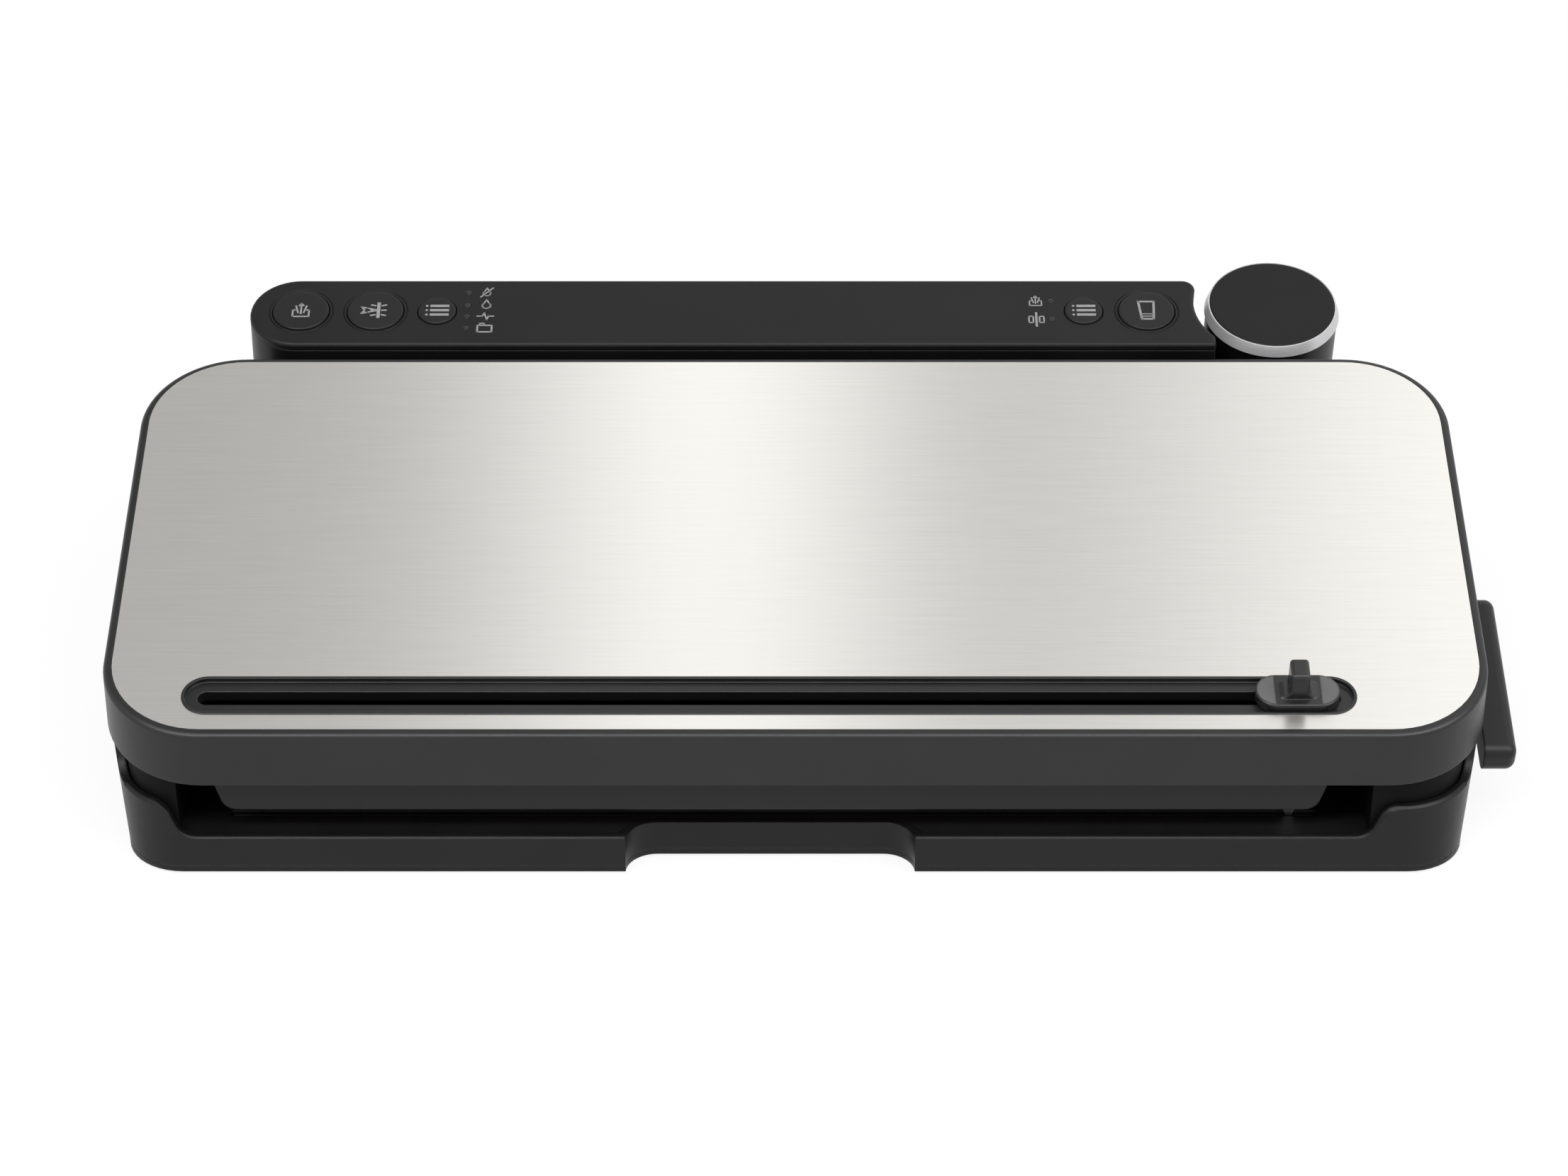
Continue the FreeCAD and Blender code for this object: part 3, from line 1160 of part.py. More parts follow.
def make_handheld():
    """Cap, ring, grip and nozzle of the handheld sealer."""
    ring_top = CAP_RISE - 0.2
    ring_low = ring_top - RING_HEIGHT
    grip_low = ring_low - GRIP_LENGTH
    cap_low = CAP_RISE - CAP_THICKNESS
    cap = handheld_rod(CAP_RADIUS, cap_low, CAP_RISE)
    cap = round_edges(cap, 0.6, lambda b, e: b.ZMin > CAP_RISE - 0.01)
    start = Vector(HANDHELD_X, HANDHELD_Y, ring_low)
    ring = Part.makeCone(RING_RADIUS, CAP_RADIUS + RING_LIP, RING_HEIGHT, start)
    ring = ring.cut(handheld_rod(CAP_RADIUS, ring_low - 1.0, CAP_RISE))
    grip = joined(handheld_rod(GRIP_RADIUS, grip_low, ring_low), handheld_rod(CAP_RADIUS, ring_low, cap_low))
    bore = GRIP_RADIUS - 2.2
    grip = grip.cut(handheld_rod(bore, grip_low - 1.0, cap_low - 2.0))
    plug = handheld_rod(bore, grip_low, grip_low + 4.0)
    nozzle = joined(plug, handheld_rod(NOZZLE_RADIUS, grip_low - NOZZLE_LENGTH, grip_low))
    nozzle = nozzle.cut(handheld_rod(3.0, grip_low - NOZZLE_LENGTH - 1.0, grip_low + 5.0))
    return [on_slope(shape) for shape in (cap, ring, grip, nozzle)], grip_low


def make_dock(grip_low):
    """The cup that the handheld sealer stands in, and the soft seal on its floor."""
    seal_top = grip_low - 0.3
    seal_low = seal_top - DOCK_FLOOR
    bore = GRIP_RADIUS + DOCK_CLEARANCE
    cup = handheld_rod(DOCK_RADIUS, -FAR / 3, -DOCK_TOP)
    cup = round_edges(cup, 1.0, lambda b, e: b.ZMin > -DOCK_TOP - 0.01)
    cup = cup.cut(handheld_rod(bore, seal_low, 0.0))
    cup = cup.cut(handheld_rod(NOZZLE_RADIUS + 1.0, grip_low - NOZZLE_LENGTH - 3.0, 0.0))
    cup = cup.cut(handheld_rod(bore - 1.0, -FAR, grip_low - NOZZLE_LENGTH - 6.0))
    cup = on_slope(cup).common(box((-FAR, FAR), (0, FAR), (COVER_TOP_Z, FAR)))
    seal = handheld_rod(bore - 0.1, seal_low, seal_top)
    seal = seal.cut(handheld_rod(NOZZLE_RADIUS + 0.4, seal_low - 1.0, seal_top + 1.0))
    return cup, on_slope(seal)


def assemble():
    """Make every piece and store it under its node's name."""
    keep("base_shell", make_base_shell())
    spots = cover_screw_spots() + tower_screw_spots()
    screws = [screw(x, y, DECK_LOW_Z) for x, y in spots]
    keep("bottom_cover", make_bottom_cover().cut(Part.makeCompound(screws)))
    keep("cover_screws", *screws)
    keep("rubber_feet", *make_feet())
    keep("deck", make_deck())
    keep("channel_tub", make_channel_tub())
    keep("latch_bridge", make_latch_bridge())
    keep("roll_bay", make_roll_bay())
    keep("bay_fittings", *make_bay_fittings())
    keep("bag_stops", *make_bag_stops())
    keep("drip_tray", make_drip_tray())
    keep("lower_gasket", gasket((DECK_TOP_Z, GASKET_PARTING_Z - 0.15)))
    bar_x = (-SEAL_BAR_HALF, SEAL_BAR_HALF - 12.0)
    bar_low = DECK_TOP_Z + RIB_HEIGHT
    keep("seal_bar", box(bar_x, SEAL_BAR_Y, (bar_low, bar_low + SEAL_BAR_HEIGHT)))
    tape_low = bar_low + SEAL_BAR_HEIGHT
    keep("heating_strip", box(bar_x, grown(SEAL_BAR_Y, -1.0), (tape_low, tape_low + 0.4)))
    keep("lid_shell", make_lid_shell())
    keep("steel_plate", make_steel_plate())
    keep("cutter_track", make_cutter_track())
    keep("lid_liner", make_lid_liner())
    keep("upper_gasket", gasket((GASKET_PARTING_Z + 0.15, JAW_BOTTOM_Z)))
    keep("pressure_strip", box(bar_x, grown(SEAL_BAR_Y, -0.5), (tape_low + 0.7, JAW_BOTTOM_Z)))
    keep("liner_screws", *make_liner_screws())
    keep("hinge_pins", *[hinge_pin(x) for x in HINGE_POST_X])
    keep("lid_catches", catch(-HOOK_X), catch(HOOK_X))
    keep("cutter_slider", make_cutter_slider())
    keep("blade_carrier", make_blade_carrier())
    keep("cutter_blade", make_cutter_blade())
    keep("latch_lever", make_latch_lever())
    keep("latch_shaft", make_latch_shaft())
    keep("latch_bushes", *make_latch_bushes())
    keep("latch_hooks", hook(-HOOK_X), hook(HOOK_X))
    keep("rear_housing", make_rear_housing())
    keep("control_panel", make_control_panel())
    for name, x, radius in button_spots():
        keep(name, button(x, radius))
    keep("control_board", make_control_board())
    keep("board_screws", *make_board_screws())
    keep("tact_switches", *make_tact_switches())
    keep("indicator_lenses", *make_indicator_lenses())
    keep("pump_motor", make_pump_motor())
    keep("pump_rotor", make_pump_rotor())
    keep("pump_head", make_pump_head())
    keep("pump_mounts", *make_pump_mounts())
    keep("motor_cradle", make_motor_cradle())
    keep("air_valve", make_air_valve())
    keep("vacuum_hose", make_vacuum_hose())
    keep("dock_hose", make_dock_hose())
    core, coil = make_transformer()
    keep("transformer_core", core)
    keep("transformer_coil", coil)
    keep("main_board", make_main_board())
    keep("cord_gland", make_cord_gland())
    keep("lid_switch", make_lid_switch())
    handheld, grip_low = make_handheld()
    for name, shape in zip(("handheld_cap", "handheld_ring", "handheld_grip", "handheld_nozzle"), handheld):
        keep(name, shape)
    cup, seal = make_dock(grip_low)
    keep("dock_cup", cup)
    keep("dock_seal", seal)


def export():
    """Move the origin to the middle of the underside, and write each node."""
    whole = FreeCAD.BoundBox()
    for shape in nodes.values():
        whole.add(shape.optimalBoundingBox(False, False))
    shift = Vector(-whole.Center.x, -whole.Center.y, -whole.ZMin)
    os.makedirs("parts", exist_ok=True)
    for name, shape in nodes.items():
        bad = [solid for solid in shape.Solids if not solid.isValid()]
        if bad or not shape.Solids:
            print("check", name, len(shape.Solids), "solids", len(bad), "not valid")
        moved = shape.copy()
        moved.translate(shift)
        moved.exportStep("parts/" + name + ".step")
    print("nodes", len(nodes), "size", whole.XLength, whole.YLength, whole.ZLength, "shift", shift)
    places = {
        "hinge": Vector(0, HINGE_Y, HINGE_Z),
        "latch": Vector(0, LATCH_Y, LATCH_Z),
        "motor": Vector(0, MOTOR_Y, MOTOR_Z),
        "handheld": slope_point(HANDHELD_X, HANDHELD_Y, 0),
        "slider": slope_point(SLIDER_X, TRACK_Y, 0),
        "button": slope_point(0, BUTTON_Y, PANEL_RISE),
    }
    for label, point in places.items():
        print(label, point + shift)


assemble()
export()
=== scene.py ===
"""Countertop vacuum sealer: finishes, symbols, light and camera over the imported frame, in metres."""
import bpy
import math
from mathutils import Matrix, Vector


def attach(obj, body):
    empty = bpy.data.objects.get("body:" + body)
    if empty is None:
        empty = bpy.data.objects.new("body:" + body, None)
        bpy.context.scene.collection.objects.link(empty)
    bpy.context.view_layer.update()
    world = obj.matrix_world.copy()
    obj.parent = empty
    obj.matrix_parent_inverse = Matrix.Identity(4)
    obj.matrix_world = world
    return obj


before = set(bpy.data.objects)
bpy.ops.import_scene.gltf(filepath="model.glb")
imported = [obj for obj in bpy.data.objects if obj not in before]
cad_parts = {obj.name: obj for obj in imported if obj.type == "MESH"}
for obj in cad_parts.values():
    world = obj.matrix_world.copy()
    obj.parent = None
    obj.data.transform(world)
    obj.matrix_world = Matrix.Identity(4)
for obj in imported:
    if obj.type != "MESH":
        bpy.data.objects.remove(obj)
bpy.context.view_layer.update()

MM = 0.001
TILT = math.radians(13.0)
LID_FRONT_Z = 50.8
SHIFT = Vector((-5.15, -115.460527, 0.0))
PANEL_TOP = 1.5
BUTTON_TOP = 2.0
BUTTON_Y = 185.1
INK_HEIGHT = 0.04
SLIDER_X = 147.3
TRACK_Y = 16.2
SHOE_TOP = 2.4
PAD_CENTRE = 6.3
PAD_RADIUS = 5.7
PAD_ARC = 170.0
PAD_STEPS = 24
NOISE_SPAN = (0.3, 0.7)
FINE_GRAIN = 2600.0
BROAD_FLOW = 38.0
BRUSH_SCALE = 2800.0
BRUSH_STRETCH = (0.014, 1.0, 1.0)
BRUSH_DEPTH = 0.0000002
BEVEL_SAMPLES = 6
WEAVE_DEPTH = 0.00003
STUDIO_GREY = (0.55, 0.55, 0.55, 1.0)
FLOOR_GREY = (0.86, 0.86, 0.86, 1.0)
WHITE = (1.0, 1.0, 1.0, 1.0)
FLOOR_SIZE = 14.0
FLOOR_WHITE_SHARE = 0.86
CARD_MIDDLE = (0.0, 0.92, 1.42)
CARD_SIZE = (3.2, 1.8, 1.0)
CARD_PITCH = math.radians(-32.0)
CARD_TINT = (1.0, 0.995, 0.98)
CARD_STOPS = (
    (0.0, 0.46), (0.40, 0.46), (0.425, 0.57), (0.45, 1.01), (0.472, 1.59), (0.49, 1.69), (0.507, 1.14),
    (0.527, 0.55), (0.545, 0.45), (0.575, 0.77), (0.605, 1.04), (0.635, 1.34), (1.0, 1.34),
)
LAMP_TARGET = (0.0, 0.0, 0.05)
LAMPS = (
    ("key", (-0.9, -1.2, 1.6), LAMP_TARGET, (1.2, 0.9), 9.0),
    ("fill", (1.3, -0.7, 1.0), LAMP_TARGET, (0.8, 0.8), 7.0),
    ("strip", (0.0, -0.45, 1.5), LAMP_TARGET, (2.4, 0.3), 9.0),
    ("edge", (0.1, -0.95, 1.3), (0.0, -0.1, 0.03), (2.6, 0.22), 20.0),
)
SENSOR_WIDTH = 36.0
PHOTO_WIDTH = 2212.0
FOCAL_LENGTH = 6000.0
CAMERA_PLACE = Vector((-8.55, -1142.0, 743.0))
CAMERA_PITCH = math.radians(58.0)


def slope_point(x, y, z):
    """A point given across, up the slope and out of it in millimetres, in the row frame."""
    across = y * math.cos(TILT) - z * math.sin(TILT)
    rise = y * math.sin(TILT) + z * math.cos(TILT)
    return (Vector((x, across, LID_FRONT_Z + rise)) + SHIFT) * MM


class Material:
    """A node material with one principled shader and a few helpers."""

    def __init__(self, name, color, roughness, metallic=0.0, specular=0.5):
        self.data = bpy.data.materials.new(name)
        self.data.use_nodes = True
        self.nodes = self.data.node_tree.nodes
        self.links = self.data.node_tree.links
        self.shader = self.nodes["Principled BSDF"]
        self.color = color
        self.roughness = roughness
        self.shader.inputs["Base Color"].default_value = (*color, 1.0)
        self.shader.inputs["Roughness"].default_value = roughness
        self.shader.inputs["Metallic"].default_value = metallic
        self.shader.inputs["Specular IOR Level"].default_value = specular
        self.coordinates = self.nodes.new("ShaderNodeTexCoord")

    def noise(self, scale, detail=3.0, stretch=(1.0, 1.0, 1.0)):
        """A noise texture's value, at a scale in waves per metre."""
        mapping = self.nodes.new("ShaderNodeMapping")
        mapping.inputs["Scale"].default_value = stretch
        texture = self.nodes.new("ShaderNodeTexNoise")
        texture.inputs["Scale"].default_value = scale
        texture.inputs["Detail"].default_value = detail
        self.links.new(self.coordinates.outputs["Object"], mapping.inputs["Vector"])
        self.links.new(mapping.outputs["Vector"], texture.inputs["Vector"])
        return texture.outputs["Fac"]

    def spread(self, value, low, high):
        """A texture value from about a third to two thirds, spread between two numbers."""
        node = self.nodes.new("ShaderNodeMapRange")
        node.inputs["From Min"].default_value = NOISE_SPAN[0]
        node.inputs["From Max"].default_value = NOISE_SPAN[1]
        node.inputs["To Min"].default_value = low
        node.inputs["To Max"].default_value = high
        self.links.new(value, node.inputs["Value"])
        return node.outputs["Result"]

    def vary_roughness(self, value, amount):
        """Roughness that follows a texture."""
        result = self.spread(value, self.roughness - amount, self.roughness + amount)
        self.links.new(result, self.shader.inputs["Roughness"])

    def vary_color(self, value, low, high):
        """Colour between a darker and a lighter share of the base colour."""
        ramp = self.nodes.new("ShaderNodeValToRGB")
        for element, where, share in zip(ramp.color_ramp.elements, NOISE_SPAN, (low, high)):
            element.position = where
            element.color = (*[channel * share for channel in self.color], 1.0)
        self.links.new(value, ramp.inputs["Fac"])
        self.links.new(ramp.outputs["Color"], self.shader.inputs["Base Color"])

    def bump(self, value, depth, soft_edge=0.0):
        """A bump of some depth in metres, over edges that catch the light as if slightly rounded."""
        node = self.nodes.new("ShaderNodeBump")
        node.inputs["Strength"].default_value = 1.0
        node.inputs["Distance"].default_value = depth
        self.links.new(value, node.inputs["Height"])
        if soft_edge > 0:
            bevel = self.nodes.new("ShaderNodeBevel")
            bevel.samples = BEVEL_SAMPLES
            bevel.inputs["Radius"].default_value = soft_edge
            self.links.new(bevel.outputs["Normal"], node.inputs["Normal"])
        self.links.new(node.outputs["Normal"], self.shader.inputs["Normal"])


def moulded(name, color, roughness=0.42, grain=0.000012, soft_edge=0.0006, specular=0.4):
    """Moulded plastic with a fine spark-eroded grain and faint flow variation."""
    material = Material(name, color, roughness, specular=specular)
    fine = material.noise(FINE_GRAIN, 2.0)
    broad = material.noise(BROAD_FLOW, 3.0)
    material.vary_color(broad, 0.9, 1.1)
    material.vary_roughness(broad, 0.04)
    material.bump(fine, grain, soft_edge)
    return material.data


def metal(name, color, roughness, stretch, scale=900.0, depth=0.000004, shade=(0.94, 1.04), metallic=1.0):
    """Metal with fine lines along one direction."""
    material = Material(name, color, roughness, metallic=metallic)
    lines = material.noise(scale, 4.0, stretch)
    material.vary_color(lines, *shade)
    material.vary_roughness(lines, 0.05)
    material.bump(lines, depth)
    return material.data


def brushed(name, color, roughness):
    """Sheet metal with very fine lines across, which spread its reflections up and down."""
    material = Material(name, color, roughness, metallic=1.0)
    lines = material.noise(BRUSH_SCALE, 4.0, BRUSH_STRETCH)
    material.vary_color(lines, 0.965, 1.025)
    material.vary_roughness(lines, 0.012)
    material.bump(lines, BRUSH_DEPTH)
    material.shader.inputs["Anisotropic"].default_value = 0.75
    along = material.nodes.new("ShaderNodeCombineXYZ")
    along.inputs["Y"].default_value = 1.0
    material.links.new(along.outputs["Vector"], material.shader.inputs["Tangent"])
    return material.data


def soft(name, color, roughness, cell, depth):
    """Rubber or closed-cell foam with a pitted skin."""
    material = Material(name, color, roughness, specular=0.3)
    pits = material.noise(cell, 3.0)
    material.vary_color(pits, 0.8, 1.15)
    material.vary_roughness(pits, 0.06)
    material.bump(pits, depth)
    return material.data


def woven(name, color, threads):
    """Coated glass cloth: crossed threads under a thin resin skin."""
    material = Material(name, color, 0.5)
    across = material.noise(threads, 1.0, (1.0, 0.08, 1.0))
    along = material.noise(threads, 1.0, (0.08, 1.0, 1.0))
    both = material.nodes.new("ShaderNodeMath")
    both.operation = "MULTIPLY_ADD"
    material.links.new(across, both.inputs[0])
    both.inputs[1].default_value = 0.5
    half = material.spread(along, 0.1, 0.4)
    material.links.new(half, both.inputs[2])
    material.vary_color(both.outputs[0], 0.75, 1.2)
    material.bump(both.outputs[0], WEAVE_DEPTH)
    return material.data


def ink(name, color):
    """Printed symbols: a thin matte film with slight wear."""
    material = Material(name, color, 0.6)
    broad = material.noise(1500.0, 3.0)
    material.vary_color(broad, 0.85, 1.1)
    return material.data


BLACK_SHELL = moulded("black_shell", (0.0052, 0.0052, 0.0055), 0.4, soft_edge=0.0009, specular=0.24)
LID_BLACK = moulded("lid_black", (0.0072, 0.0072, 0.0075), 0.38, specular=0.38)
PANEL_BLACK = moulded("panel_black", (0.0058, 0.0058, 0.0061), 0.42, specular=0.2)
TOWER_BLACK = moulded("tower_black", (0.003, 0.003, 0.0032), 0.36, specular=0.3)
INNER_BLACK = moulded("inner_black", (0.0062, 0.0062, 0.0064), 0.45, specular=0.3)
# Painted shade: a darker, duller copy of the black plastic for the bag stops, which stand in the shaded gap
# between lid and base
PAINTED_SHADE_BLACK = moulded("painted_shade_black", (0.0022, 0.0022, 0.0023), 0.6, specular=0.1)
LEVER_BLACK = moulded("lever_black", (0.0058, 0.0058, 0.0061), 0.4, soft_edge=0.0009, specular=0.27)
BUTTON_BLACK = moulded("button_black", (0.006, 0.006, 0.0063), 0.42, specular=0.24)
TRACK_BLACK = moulded("track_black", (0.008, 0.008, 0.0085), 0.3, 0.000006)
SLIDER_GREY = moulded("slider_grey", (0.012, 0.012, 0.0122), 0.28, 0.000008)
PAD_GREY = moulded("pad_grey", (0.08, 0.08, 0.08), 0.38, 0.000008)
CAP_BLACK = moulded("cap_black", (0.005, 0.005, 0.0053), 0.4, specular=0.16)
GRIP_BLACK = moulded("grip_black", (0.004, 0.004, 0.0042), 0.36, specular=0.15)
TRAY_GREY = moulded("tray_grey", (0.03, 0.03, 0.032), 0.4)
HEAT_BLACK = moulded("heat_black", (0.03, 0.03, 0.03), 0.5)
PUMP_GREY = moulded("pump_grey", (0.2, 0.2, 0.21), 0.45)
BOARD_GREEN = moulded("board_green", (0.02, 0.12, 0.05), 0.35)
LENS = moulded("lens", (0.012, 0.012, 0.013), 0.15, 0.000002)
STEEL = brushed("steel", (0.80, 0.79, 0.765), 0.30)
SATIN_RING = metal("satin_ring", (0.5, 0.5, 0.51), 0.36, (1.0, 1.0, 9.0), 700.0, 0.0000015, metallic=0.5)
PLAIN_STEEL = metal("plain_steel", (0.55, 0.55, 0.54), 0.32, (1.0, 0.2, 1.0), 1500.0)
CORE = metal("core", (0.10, 0.09, 0.08), 0.55, (0.02, 1.0, 0.02), 1400.0)
COIL = metal("coil", (0.62, 0.28, 0.12), 0.3, (1.0, 0.05, 0.05), 1600.0, 0.00002)
RUBBER = soft("rubber", (0.012, 0.012, 0.012), 0.6, 1400.0, 0.00001)
FOAM = soft("foam", (0.022, 0.022, 0.023), 0.85, 2200.0, 0.00006)
SILICONE = soft("silicone", (0.30, 0.05, 0.035), 0.5, 900.0, 0.00001)
HOSE = soft("hose", (0.55, 0.55, 0.52), 0.4, 500.0, 0.00001)
TAPE = woven("tape", (0.28, 0.16, 0.07), 2600.0)
INK = ink("ink", (0.2, 0.2, 0.2))

FINISHES = {
    BLACK_SHELL: ("base_shell", "bottom_cover", "dock_cup", "cord_gland"),
    LID_BLACK: ("lid_shell",),
    PANEL_BLACK: ("control_panel",),
    TOWER_BLACK: ("rear_housing",),
    # The bag stops take the painted-shade black rather than the shell's own black
    PAINTED_SHADE_BLACK: ("bag_stops",),
    INNER_BLACK: (
        "deck", "channel_tub", "latch_bridge", "roll_bay", "bay_fittings", "lid_liner", "lid_catches",
        "latch_hooks", "blade_carrier", "latch_bushes", "motor_cradle", "tact_switches", "lid_switch",
    ),
    LEVER_BLACK: ("latch_lever",),
    BUTTON_BLACK: (
        "vacuum_seal_button", "seal_button", "handheld_button", "food_mode_button", "speed_button",
    ),
    TRACK_BLACK: ("cutter_track",),
    SLIDER_GREY: ("cutter_slider",),
    CAP_BLACK: ("handheld_cap",),
    GRIP_BLACK: ("handheld_grip",),
    TRAY_GREY: ("drip_tray",),
    HEAT_BLACK: ("seal_bar",),
    PUMP_GREY: ("pump_head", "air_valve"),
    BOARD_GREEN: ("control_board", "main_board"),
    LENS: ("indicator_lenses",),
    STEEL: ("steel_plate",),
    SATIN_RING: ("handheld_ring",),
    PLAIN_STEEL: (
        "hinge_pins", "latch_shaft", "cover_screws", "liner_screws", "board_screws", "pump_motor",
        "pump_rotor", "cutter_blade",
    ),
    CORE: ("transformer_core",),
    COIL: ("transformer_coil",),
    RUBBER: ("rubber_feet", "dock_seal", "handheld_nozzle", "pump_mounts"),
    FOAM: ("lower_gasket", "upper_gasket"),
    SILICONE: ("pressure_strip",),
    HOSE: ("vacuum_hose", "dock_hose"),
    TAPE: ("heating_strip",),
}
for finish, names in FINISHES.items():
    for name in names:
        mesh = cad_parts[name].data
        mesh.materials.clear()
        mesh.materials.append(finish)


def stroke(points, width, closed=False):
    """Corner loops for a line of some width through flat points, one four-sided loop per run."""
    loops = []
    ends = points[1:] + points[:1] if closed else points[1:]
    for start, end in zip(points, ends):
        run = (Vector(end) - Vector(start)).normalized() * width / 2
        side = Vector((-run.y, run.x))
        first = Vector(start) - run
        last = Vector(end) + run
        loops.append([first - side, last - side, last + side, first + side])
    return loops


def disc(x, y, radius, sides=16):
    """A corner loop for a small filled circle."""
    turns = [2 * math.pi * i / sides for i in range(sides)]
    return [[Vector((x + radius * math.cos(t), y + radius * math.sin(t))) for t in turns]]


def symbol(name, loops, place, height, body):
    """A thin printed film of flat loops, laid on the slope at a place and height."""
    corners, faces = [], []
    for loop in loops:
        count = len(loop)
        start = len(corners)
        for lift in (0.0, INK_HEIGHT):
            for point in loop:
                corners.append(slope_point(place[0] + point.x, place[1] + point.y, height + lift))
        faces.append([start + count + i for i in range(count)])
        faces.append([start + count - 1 - i for i in range(count)])
        for i in range(count):
            j = (i + 1) % count
            faces.append([start + i, start + j, start + count + j, start + count + i])
    mesh = bpy.data.meshes.new(name)
    mesh.from_pydata(corners, [], faces)
    mesh.materials.append(INK)
    piece = bpy.data.objects.new(name, mesh)
    bpy.context.scene.collection.objects.link(piece)
    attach(piece, body)
    return piece


def tray_symbol(scale, width):
    """An open tray with air leaving it: one arrow up and two to the sides."""
    tray = [(-2.4, 0.1), (-3.1, 0.1), (-3.1, -3.6), (3.1, -3.6), (3.1, 0.1), (2.4, 0.1)]
    runs = [tray, [(0, -1.9), (0, 3.4)], [(-0.8, 2.7), (0, 3.8), (0.8, 2.7)]]
    for side in (-1, 1):
        runs.append([(side * 1.1, -1.3), (side * 2.0, 2.3)])
    loops = []
    for run in runs:
        loops += stroke([(x * scale, y * scale) for x, y in run], width)
    return loops


def seal_symbol():
    """A bag's end drawn into a hot bar."""
    loops = stroke([(-4.4, 1.5), (-2.6, 1.0), (0.2, 0.2)], 0.6)
    loops += stroke([(-4.4, -1.5), (-2.6, -1.0), (0.2, -0.2)], 0.6)
    loops += stroke([(-4.4, 1.5), (-3.4, 0.0), (-4.4, -1.5)], 0.6)
    loops += stroke([(1.0, -3.2), (1.0, 3.2)], 1.1)
    for side in (-1, 1):
        for rise in (-2.2, 0.0, 2.2):
            loops += stroke([(1.0 + side * 1.1, rise), (1.0 + side * 2.3, rise * 1.15)], 0.6)
    return loops


def list_symbol():
    """A list of choices: three dots with three lines."""
    loops = []
    for rise in (-2.1, 0.0, 2.1):
        loops += disc(-3.3, rise, 0.45) + stroke([(-1.7, rise), (3.3, rise)], 1.1)
    return loops


def cup_symbol():
    """A tumbler with some liquid in it."""
    loops = stroke([(-2.5, 4.2), (2.5, 4.2), (2.1, -4.2), (-1.7, -4.2)], 0.75, closed=True)
    return loops + stroke([(-1.9, -1.8), (2.2, -1.8)], 0.4) + stroke([(-1.8, -2.9), (2.1, -2.9)], 0.4)


def drop_points(size):
    """Corners of a falling drop."""
    turns = [math.radians(a) for a in range(-230, 51, 28)]
    return [(0.0, 1.9 * size)] + [(size * math.cos(t), size * math.sin(t) - 0.3) for t in turns]


def small_symbols():
    """The two columns of small symbols, as (name, loops, place)."""
    dry = stroke(drop_points(1.2), 0.45, True) + stroke([(-1.9, -2.1), (1.9, 2.3)], 0.5)
    wet = stroke(drop_points(1.35), 0.5, True)
    pulse_line = [(-2.6, 0.0), (-1.0, 0.0), (-0.4, 1.5), (0.5, -1.7), (1.0, 0.0), (2.6, 0.0)]
    pulse = stroke(pulse_line, 0.5)
    box_line = [(-2.3, 1.0), (-2.3, -2.1), (2.3, -2.1), (2.3, 1.0)]
    tab_line = [(-1.6, 1.0), (-1.6, 2.0), (-0.2, 2.0), (-0.2, 1.0)]
    bin_loops = stroke(box_line, 0.6, True) + stroke(tab_line, 0.5)
    gentle = stroke([(0.0, -3.1), (0.0, 3.1)], 0.7)
    for side in (-1, 1):
        bracket = [(side * 1.0, 1.5), (side * 2.4, 1.5), (side * 2.4, -1.5), (side * 1.0, -1.5)]
        gentle += stroke(bracket, 0.5, True)
    return [
        ("symbol_dry", dry, (-99.3, 194.2)), ("symbol_wet", wet, (-99.2, 188.2)),
        ("symbol_pulse", pulse, (-99.3, 182.8)), ("symbol_bin", bin_loops, (-99.3, 177.3)),
        ("symbol_normal", tray_symbol(0.62, 0.45), (77.6, 190.2)), ("symbol_gentle", gentle, (77.6, 181.2)),
    ]


for name, loops, x in (
    ("vacuum_seal", tray_symbol(0.84, 0.58), -158.6), ("seal", seal_symbol(), -134.7),
    ("food_mode", list_symbol(), -114.9), ("speed", list_symbol(), 92.9), ("handheld", cup_symbol(), 113.1),
):
    symbol("symbol_" + name, loops, (x, BUTTON_Y), BUTTON_TOP, name + "_button")
for name, loops, place in small_symbols():
    symbol(name, loops, place, PANEL_TOP, "base")


def make_slider_pads():
    """Two grey thumb pads, one on each end of the cutter's shoe."""
    for name, side in (("slider_pad_left", -1), ("slider_pad_right", 1)):
        turns = [math.radians(PAD_ARC * (i / PAD_STEPS - 0.5)) for i in range(PAD_STEPS + 1)]
        arc = [(PAD_CENTRE + PAD_RADIUS * math.cos(t), PAD_RADIUS * math.sin(t)) for t in turns]
        loop = [Vector((side * x, side * y)) for x, y in arc]
        pad = symbol(name, [loop], (SLIDER_X, TRACK_Y), SHOE_TOP, "cutter")
        pad.data.materials.clear()
        pad.data.materials.append(PAD_GREY)


def background_shader(tree, surface, strength):
    """White to the camera and in reflections, and a plain surface or light to everything else."""
    path = tree.nodes.new("ShaderNodeLightPath")
    both = tree.nodes.new("ShaderNodeMath")
    both.operation = "MAXIMUM"
    tree.links.new(path.outputs["Is Camera Ray"], both.inputs[0])
    tree.links.new(path.outputs["Is Glossy Ray"], both.inputs[1])
    every = tree.nodes.new("ShaderNodeMath")
    every.operation = "MAXIMUM"
    tree.links.new(both.outputs[0], every.inputs[0])
    tree.links.new(path.outputs["Is Transmission Ray"], every.inputs[1])
    share = tree.nodes.new("ShaderNodeMath")
    share.operation = "MULTIPLY"
    tree.links.new(every.outputs[0], share.inputs[0])
    share.inputs[1].default_value = strength
    mix = tree.nodes.new("ShaderNodeMixShader")
    tree.links.new(share.outputs[0], mix.inputs["Fac"])
    tree.links.new(surface, mix.inputs[1])
    return mix


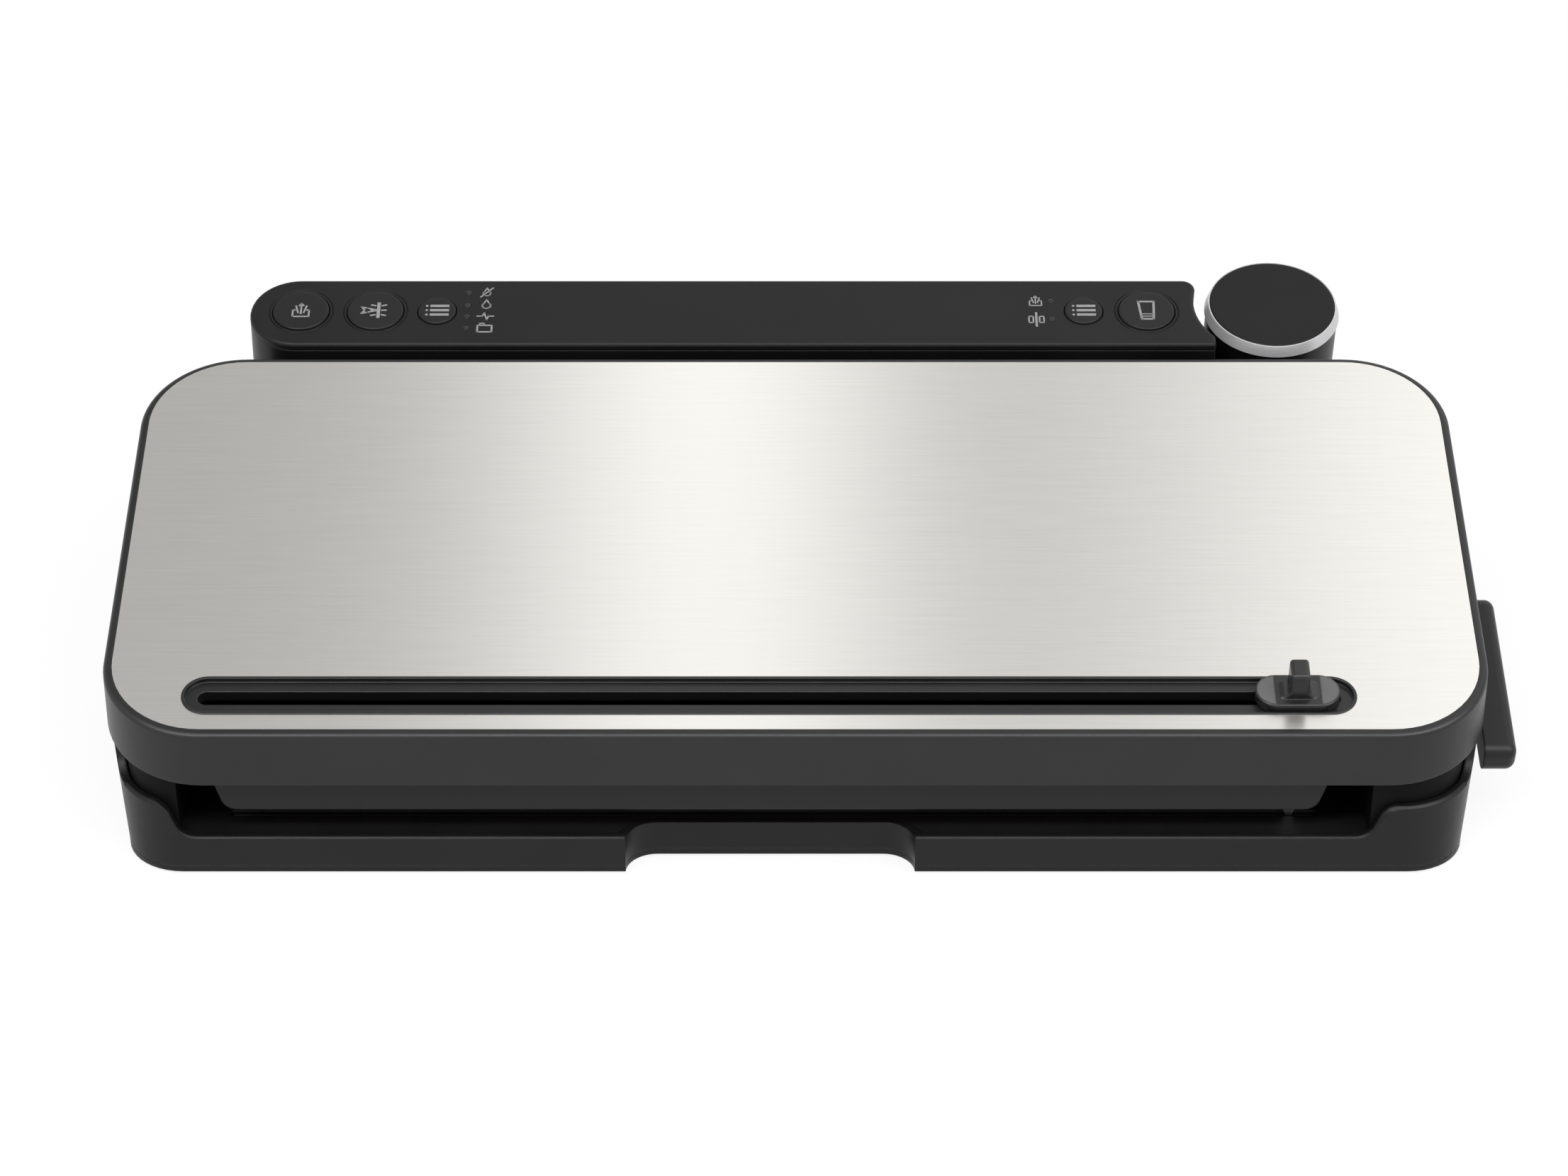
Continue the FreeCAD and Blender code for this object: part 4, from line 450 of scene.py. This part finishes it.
def make_world():
    """A plain grey studio that looks white where it is seen."""
    world = bpy.data.worlds.new("studio")
    bpy.context.scene.world = world
    world.use_nodes = True
    tree = world.node_tree
    plain = tree.nodes["Background"]
    plain.inputs["Color"].default_value = STUDIO_GREY
    plain.inputs["Strength"].default_value = 1.0
    white = tree.nodes.new("ShaderNodeBackground")
    white.inputs["Color"].default_value = WHITE
    mix = background_shader(tree, plain.outputs[0], 1.0)
    tree.links.new(white.outputs[0], mix.inputs[2])
    tree.links.new(mix.outputs[0], tree.nodes["World Output"].inputs["Surface"])


def make_floor():
    """A wide pale floor that keeps a faint shadow."""
    bpy.ops.mesh.primitive_plane_add(size=FLOOR_SIZE, location=(0.0, 0.0, 0.0))
    floor = bpy.context.object
    floor.name = "floor"
    data = bpy.data.materials.new("floor")
    data.use_nodes = True
    tree = data.node_tree
    shader = tree.nodes["Principled BSDF"]
    shader.inputs["Base Color"].default_value = FLOOR_GREY
    shader.inputs["Roughness"].default_value = 0.9
    shader.inputs["Specular IOR Level"].default_value = 0.0
    glow = tree.nodes.new("ShaderNodeEmission")
    glow.inputs["Color"].default_value = WHITE
    mix = background_shader(tree, shader.outputs[0], FLOOR_WHITE_SHARE)
    tree.links.new(glow.outputs[0], mix.inputs[2])
    tree.links.new(mix.outputs[0], tree.nodes["Material Output"].inputs["Surface"])
    floor.data.materials.append(data)


def make_light_card():
    """A wide overhead card, uneven from left to right, that the steel and the panel reflect."""
    bpy.ops.mesh.primitive_plane_add(size=1.0, location=CARD_MIDDLE)
    card = bpy.context.object
    card.name = "light_card"
    card.scale = CARD_SIZE
    card.rotation_euler = (CARD_PITCH, 0.0, 0.0)
    data = bpy.data.materials.new("light_card")
    data.use_nodes = True
    tree = data.node_tree
    tree.nodes.remove(tree.nodes["Principled BSDF"])
    glow = tree.nodes.new("ShaderNodeEmission")
    place = tree.nodes.new("ShaderNodeTexCoord")
    split = tree.nodes.new("ShaderNodeSeparateXYZ")
    ramp = tree.nodes.new("ShaderNodeValToRGB")
    tree.links.new(place.outputs["Generated"], split.inputs[0])
    tree.links.new(split.outputs["X"], ramp.inputs["Fac"])
    tree.links.new(ramp.outputs["Color"], glow.inputs["Color"])
    tree.links.new(glow.outputs[0], tree.nodes["Material Output"].inputs["Surface"])
    while len(ramp.color_ramp.elements) < len(CARD_STOPS):
        ramp.color_ramp.elements.new(0.5)
    for element, (where, level) in zip(ramp.color_ramp.elements, CARD_STOPS):
        element.position = where
        element.color = (*[level * tint for tint in CARD_TINT], 1.0)
    card.data.materials.append(data)
    card.visible_camera = False
    card.visible_shadow = False
    card.visible_diffuse = False


def lamp(name, place, target, size, power):
    """A rectangular soft light aimed at a point."""
    data = bpy.data.lights.new(name, "AREA")
    data.shape = "RECTANGLE"
    data.size, data.size_y = size
    data.energy = power
    light = bpy.data.objects.new(name, data)
    light.location = place
    light.rotation_euler = (Vector(target) - Vector(place)).to_track_quat("-Z", "Y").to_euler()
    bpy.context.scene.collection.objects.link(light)
    return light


def make_lamps():
    """Four soft lamps, kept off the steel plate, which they would clip to white."""
    spared = bpy.data.collections.new("unlit_by_lamps")
    spared.objects.link(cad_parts["steel_plate"])
    spared.collection_objects[0].light_linking.link_state = "EXCLUDE"
    for row in LAMPS:
        lamp(*row).light_linking.receiver_collection = spared


def make_camera():
    """The photograph's viewpoint."""
    data = bpy.data.cameras.new("camera")
    data.sensor_fit = "HORIZONTAL"
    data.sensor_width = SENSOR_WIDTH
    data.lens = SENSOR_WIDTH * FOCAL_LENGTH / PHOTO_WIDTH
    camera = bpy.data.objects.new("camera", data)
    camera.location = CAMERA_PLACE * MM
    camera.rotation_euler = (CAMERA_PITCH, 0.0, 0.0)
    bpy.context.scene.collection.objects.link(camera)
    bpy.context.scene.camera = camera


make_slider_pads()
make_world()
make_floor()
make_light_card()
make_lamps()
make_camera()
bpy.context.scene.view_settings.view_transform = "Standard"
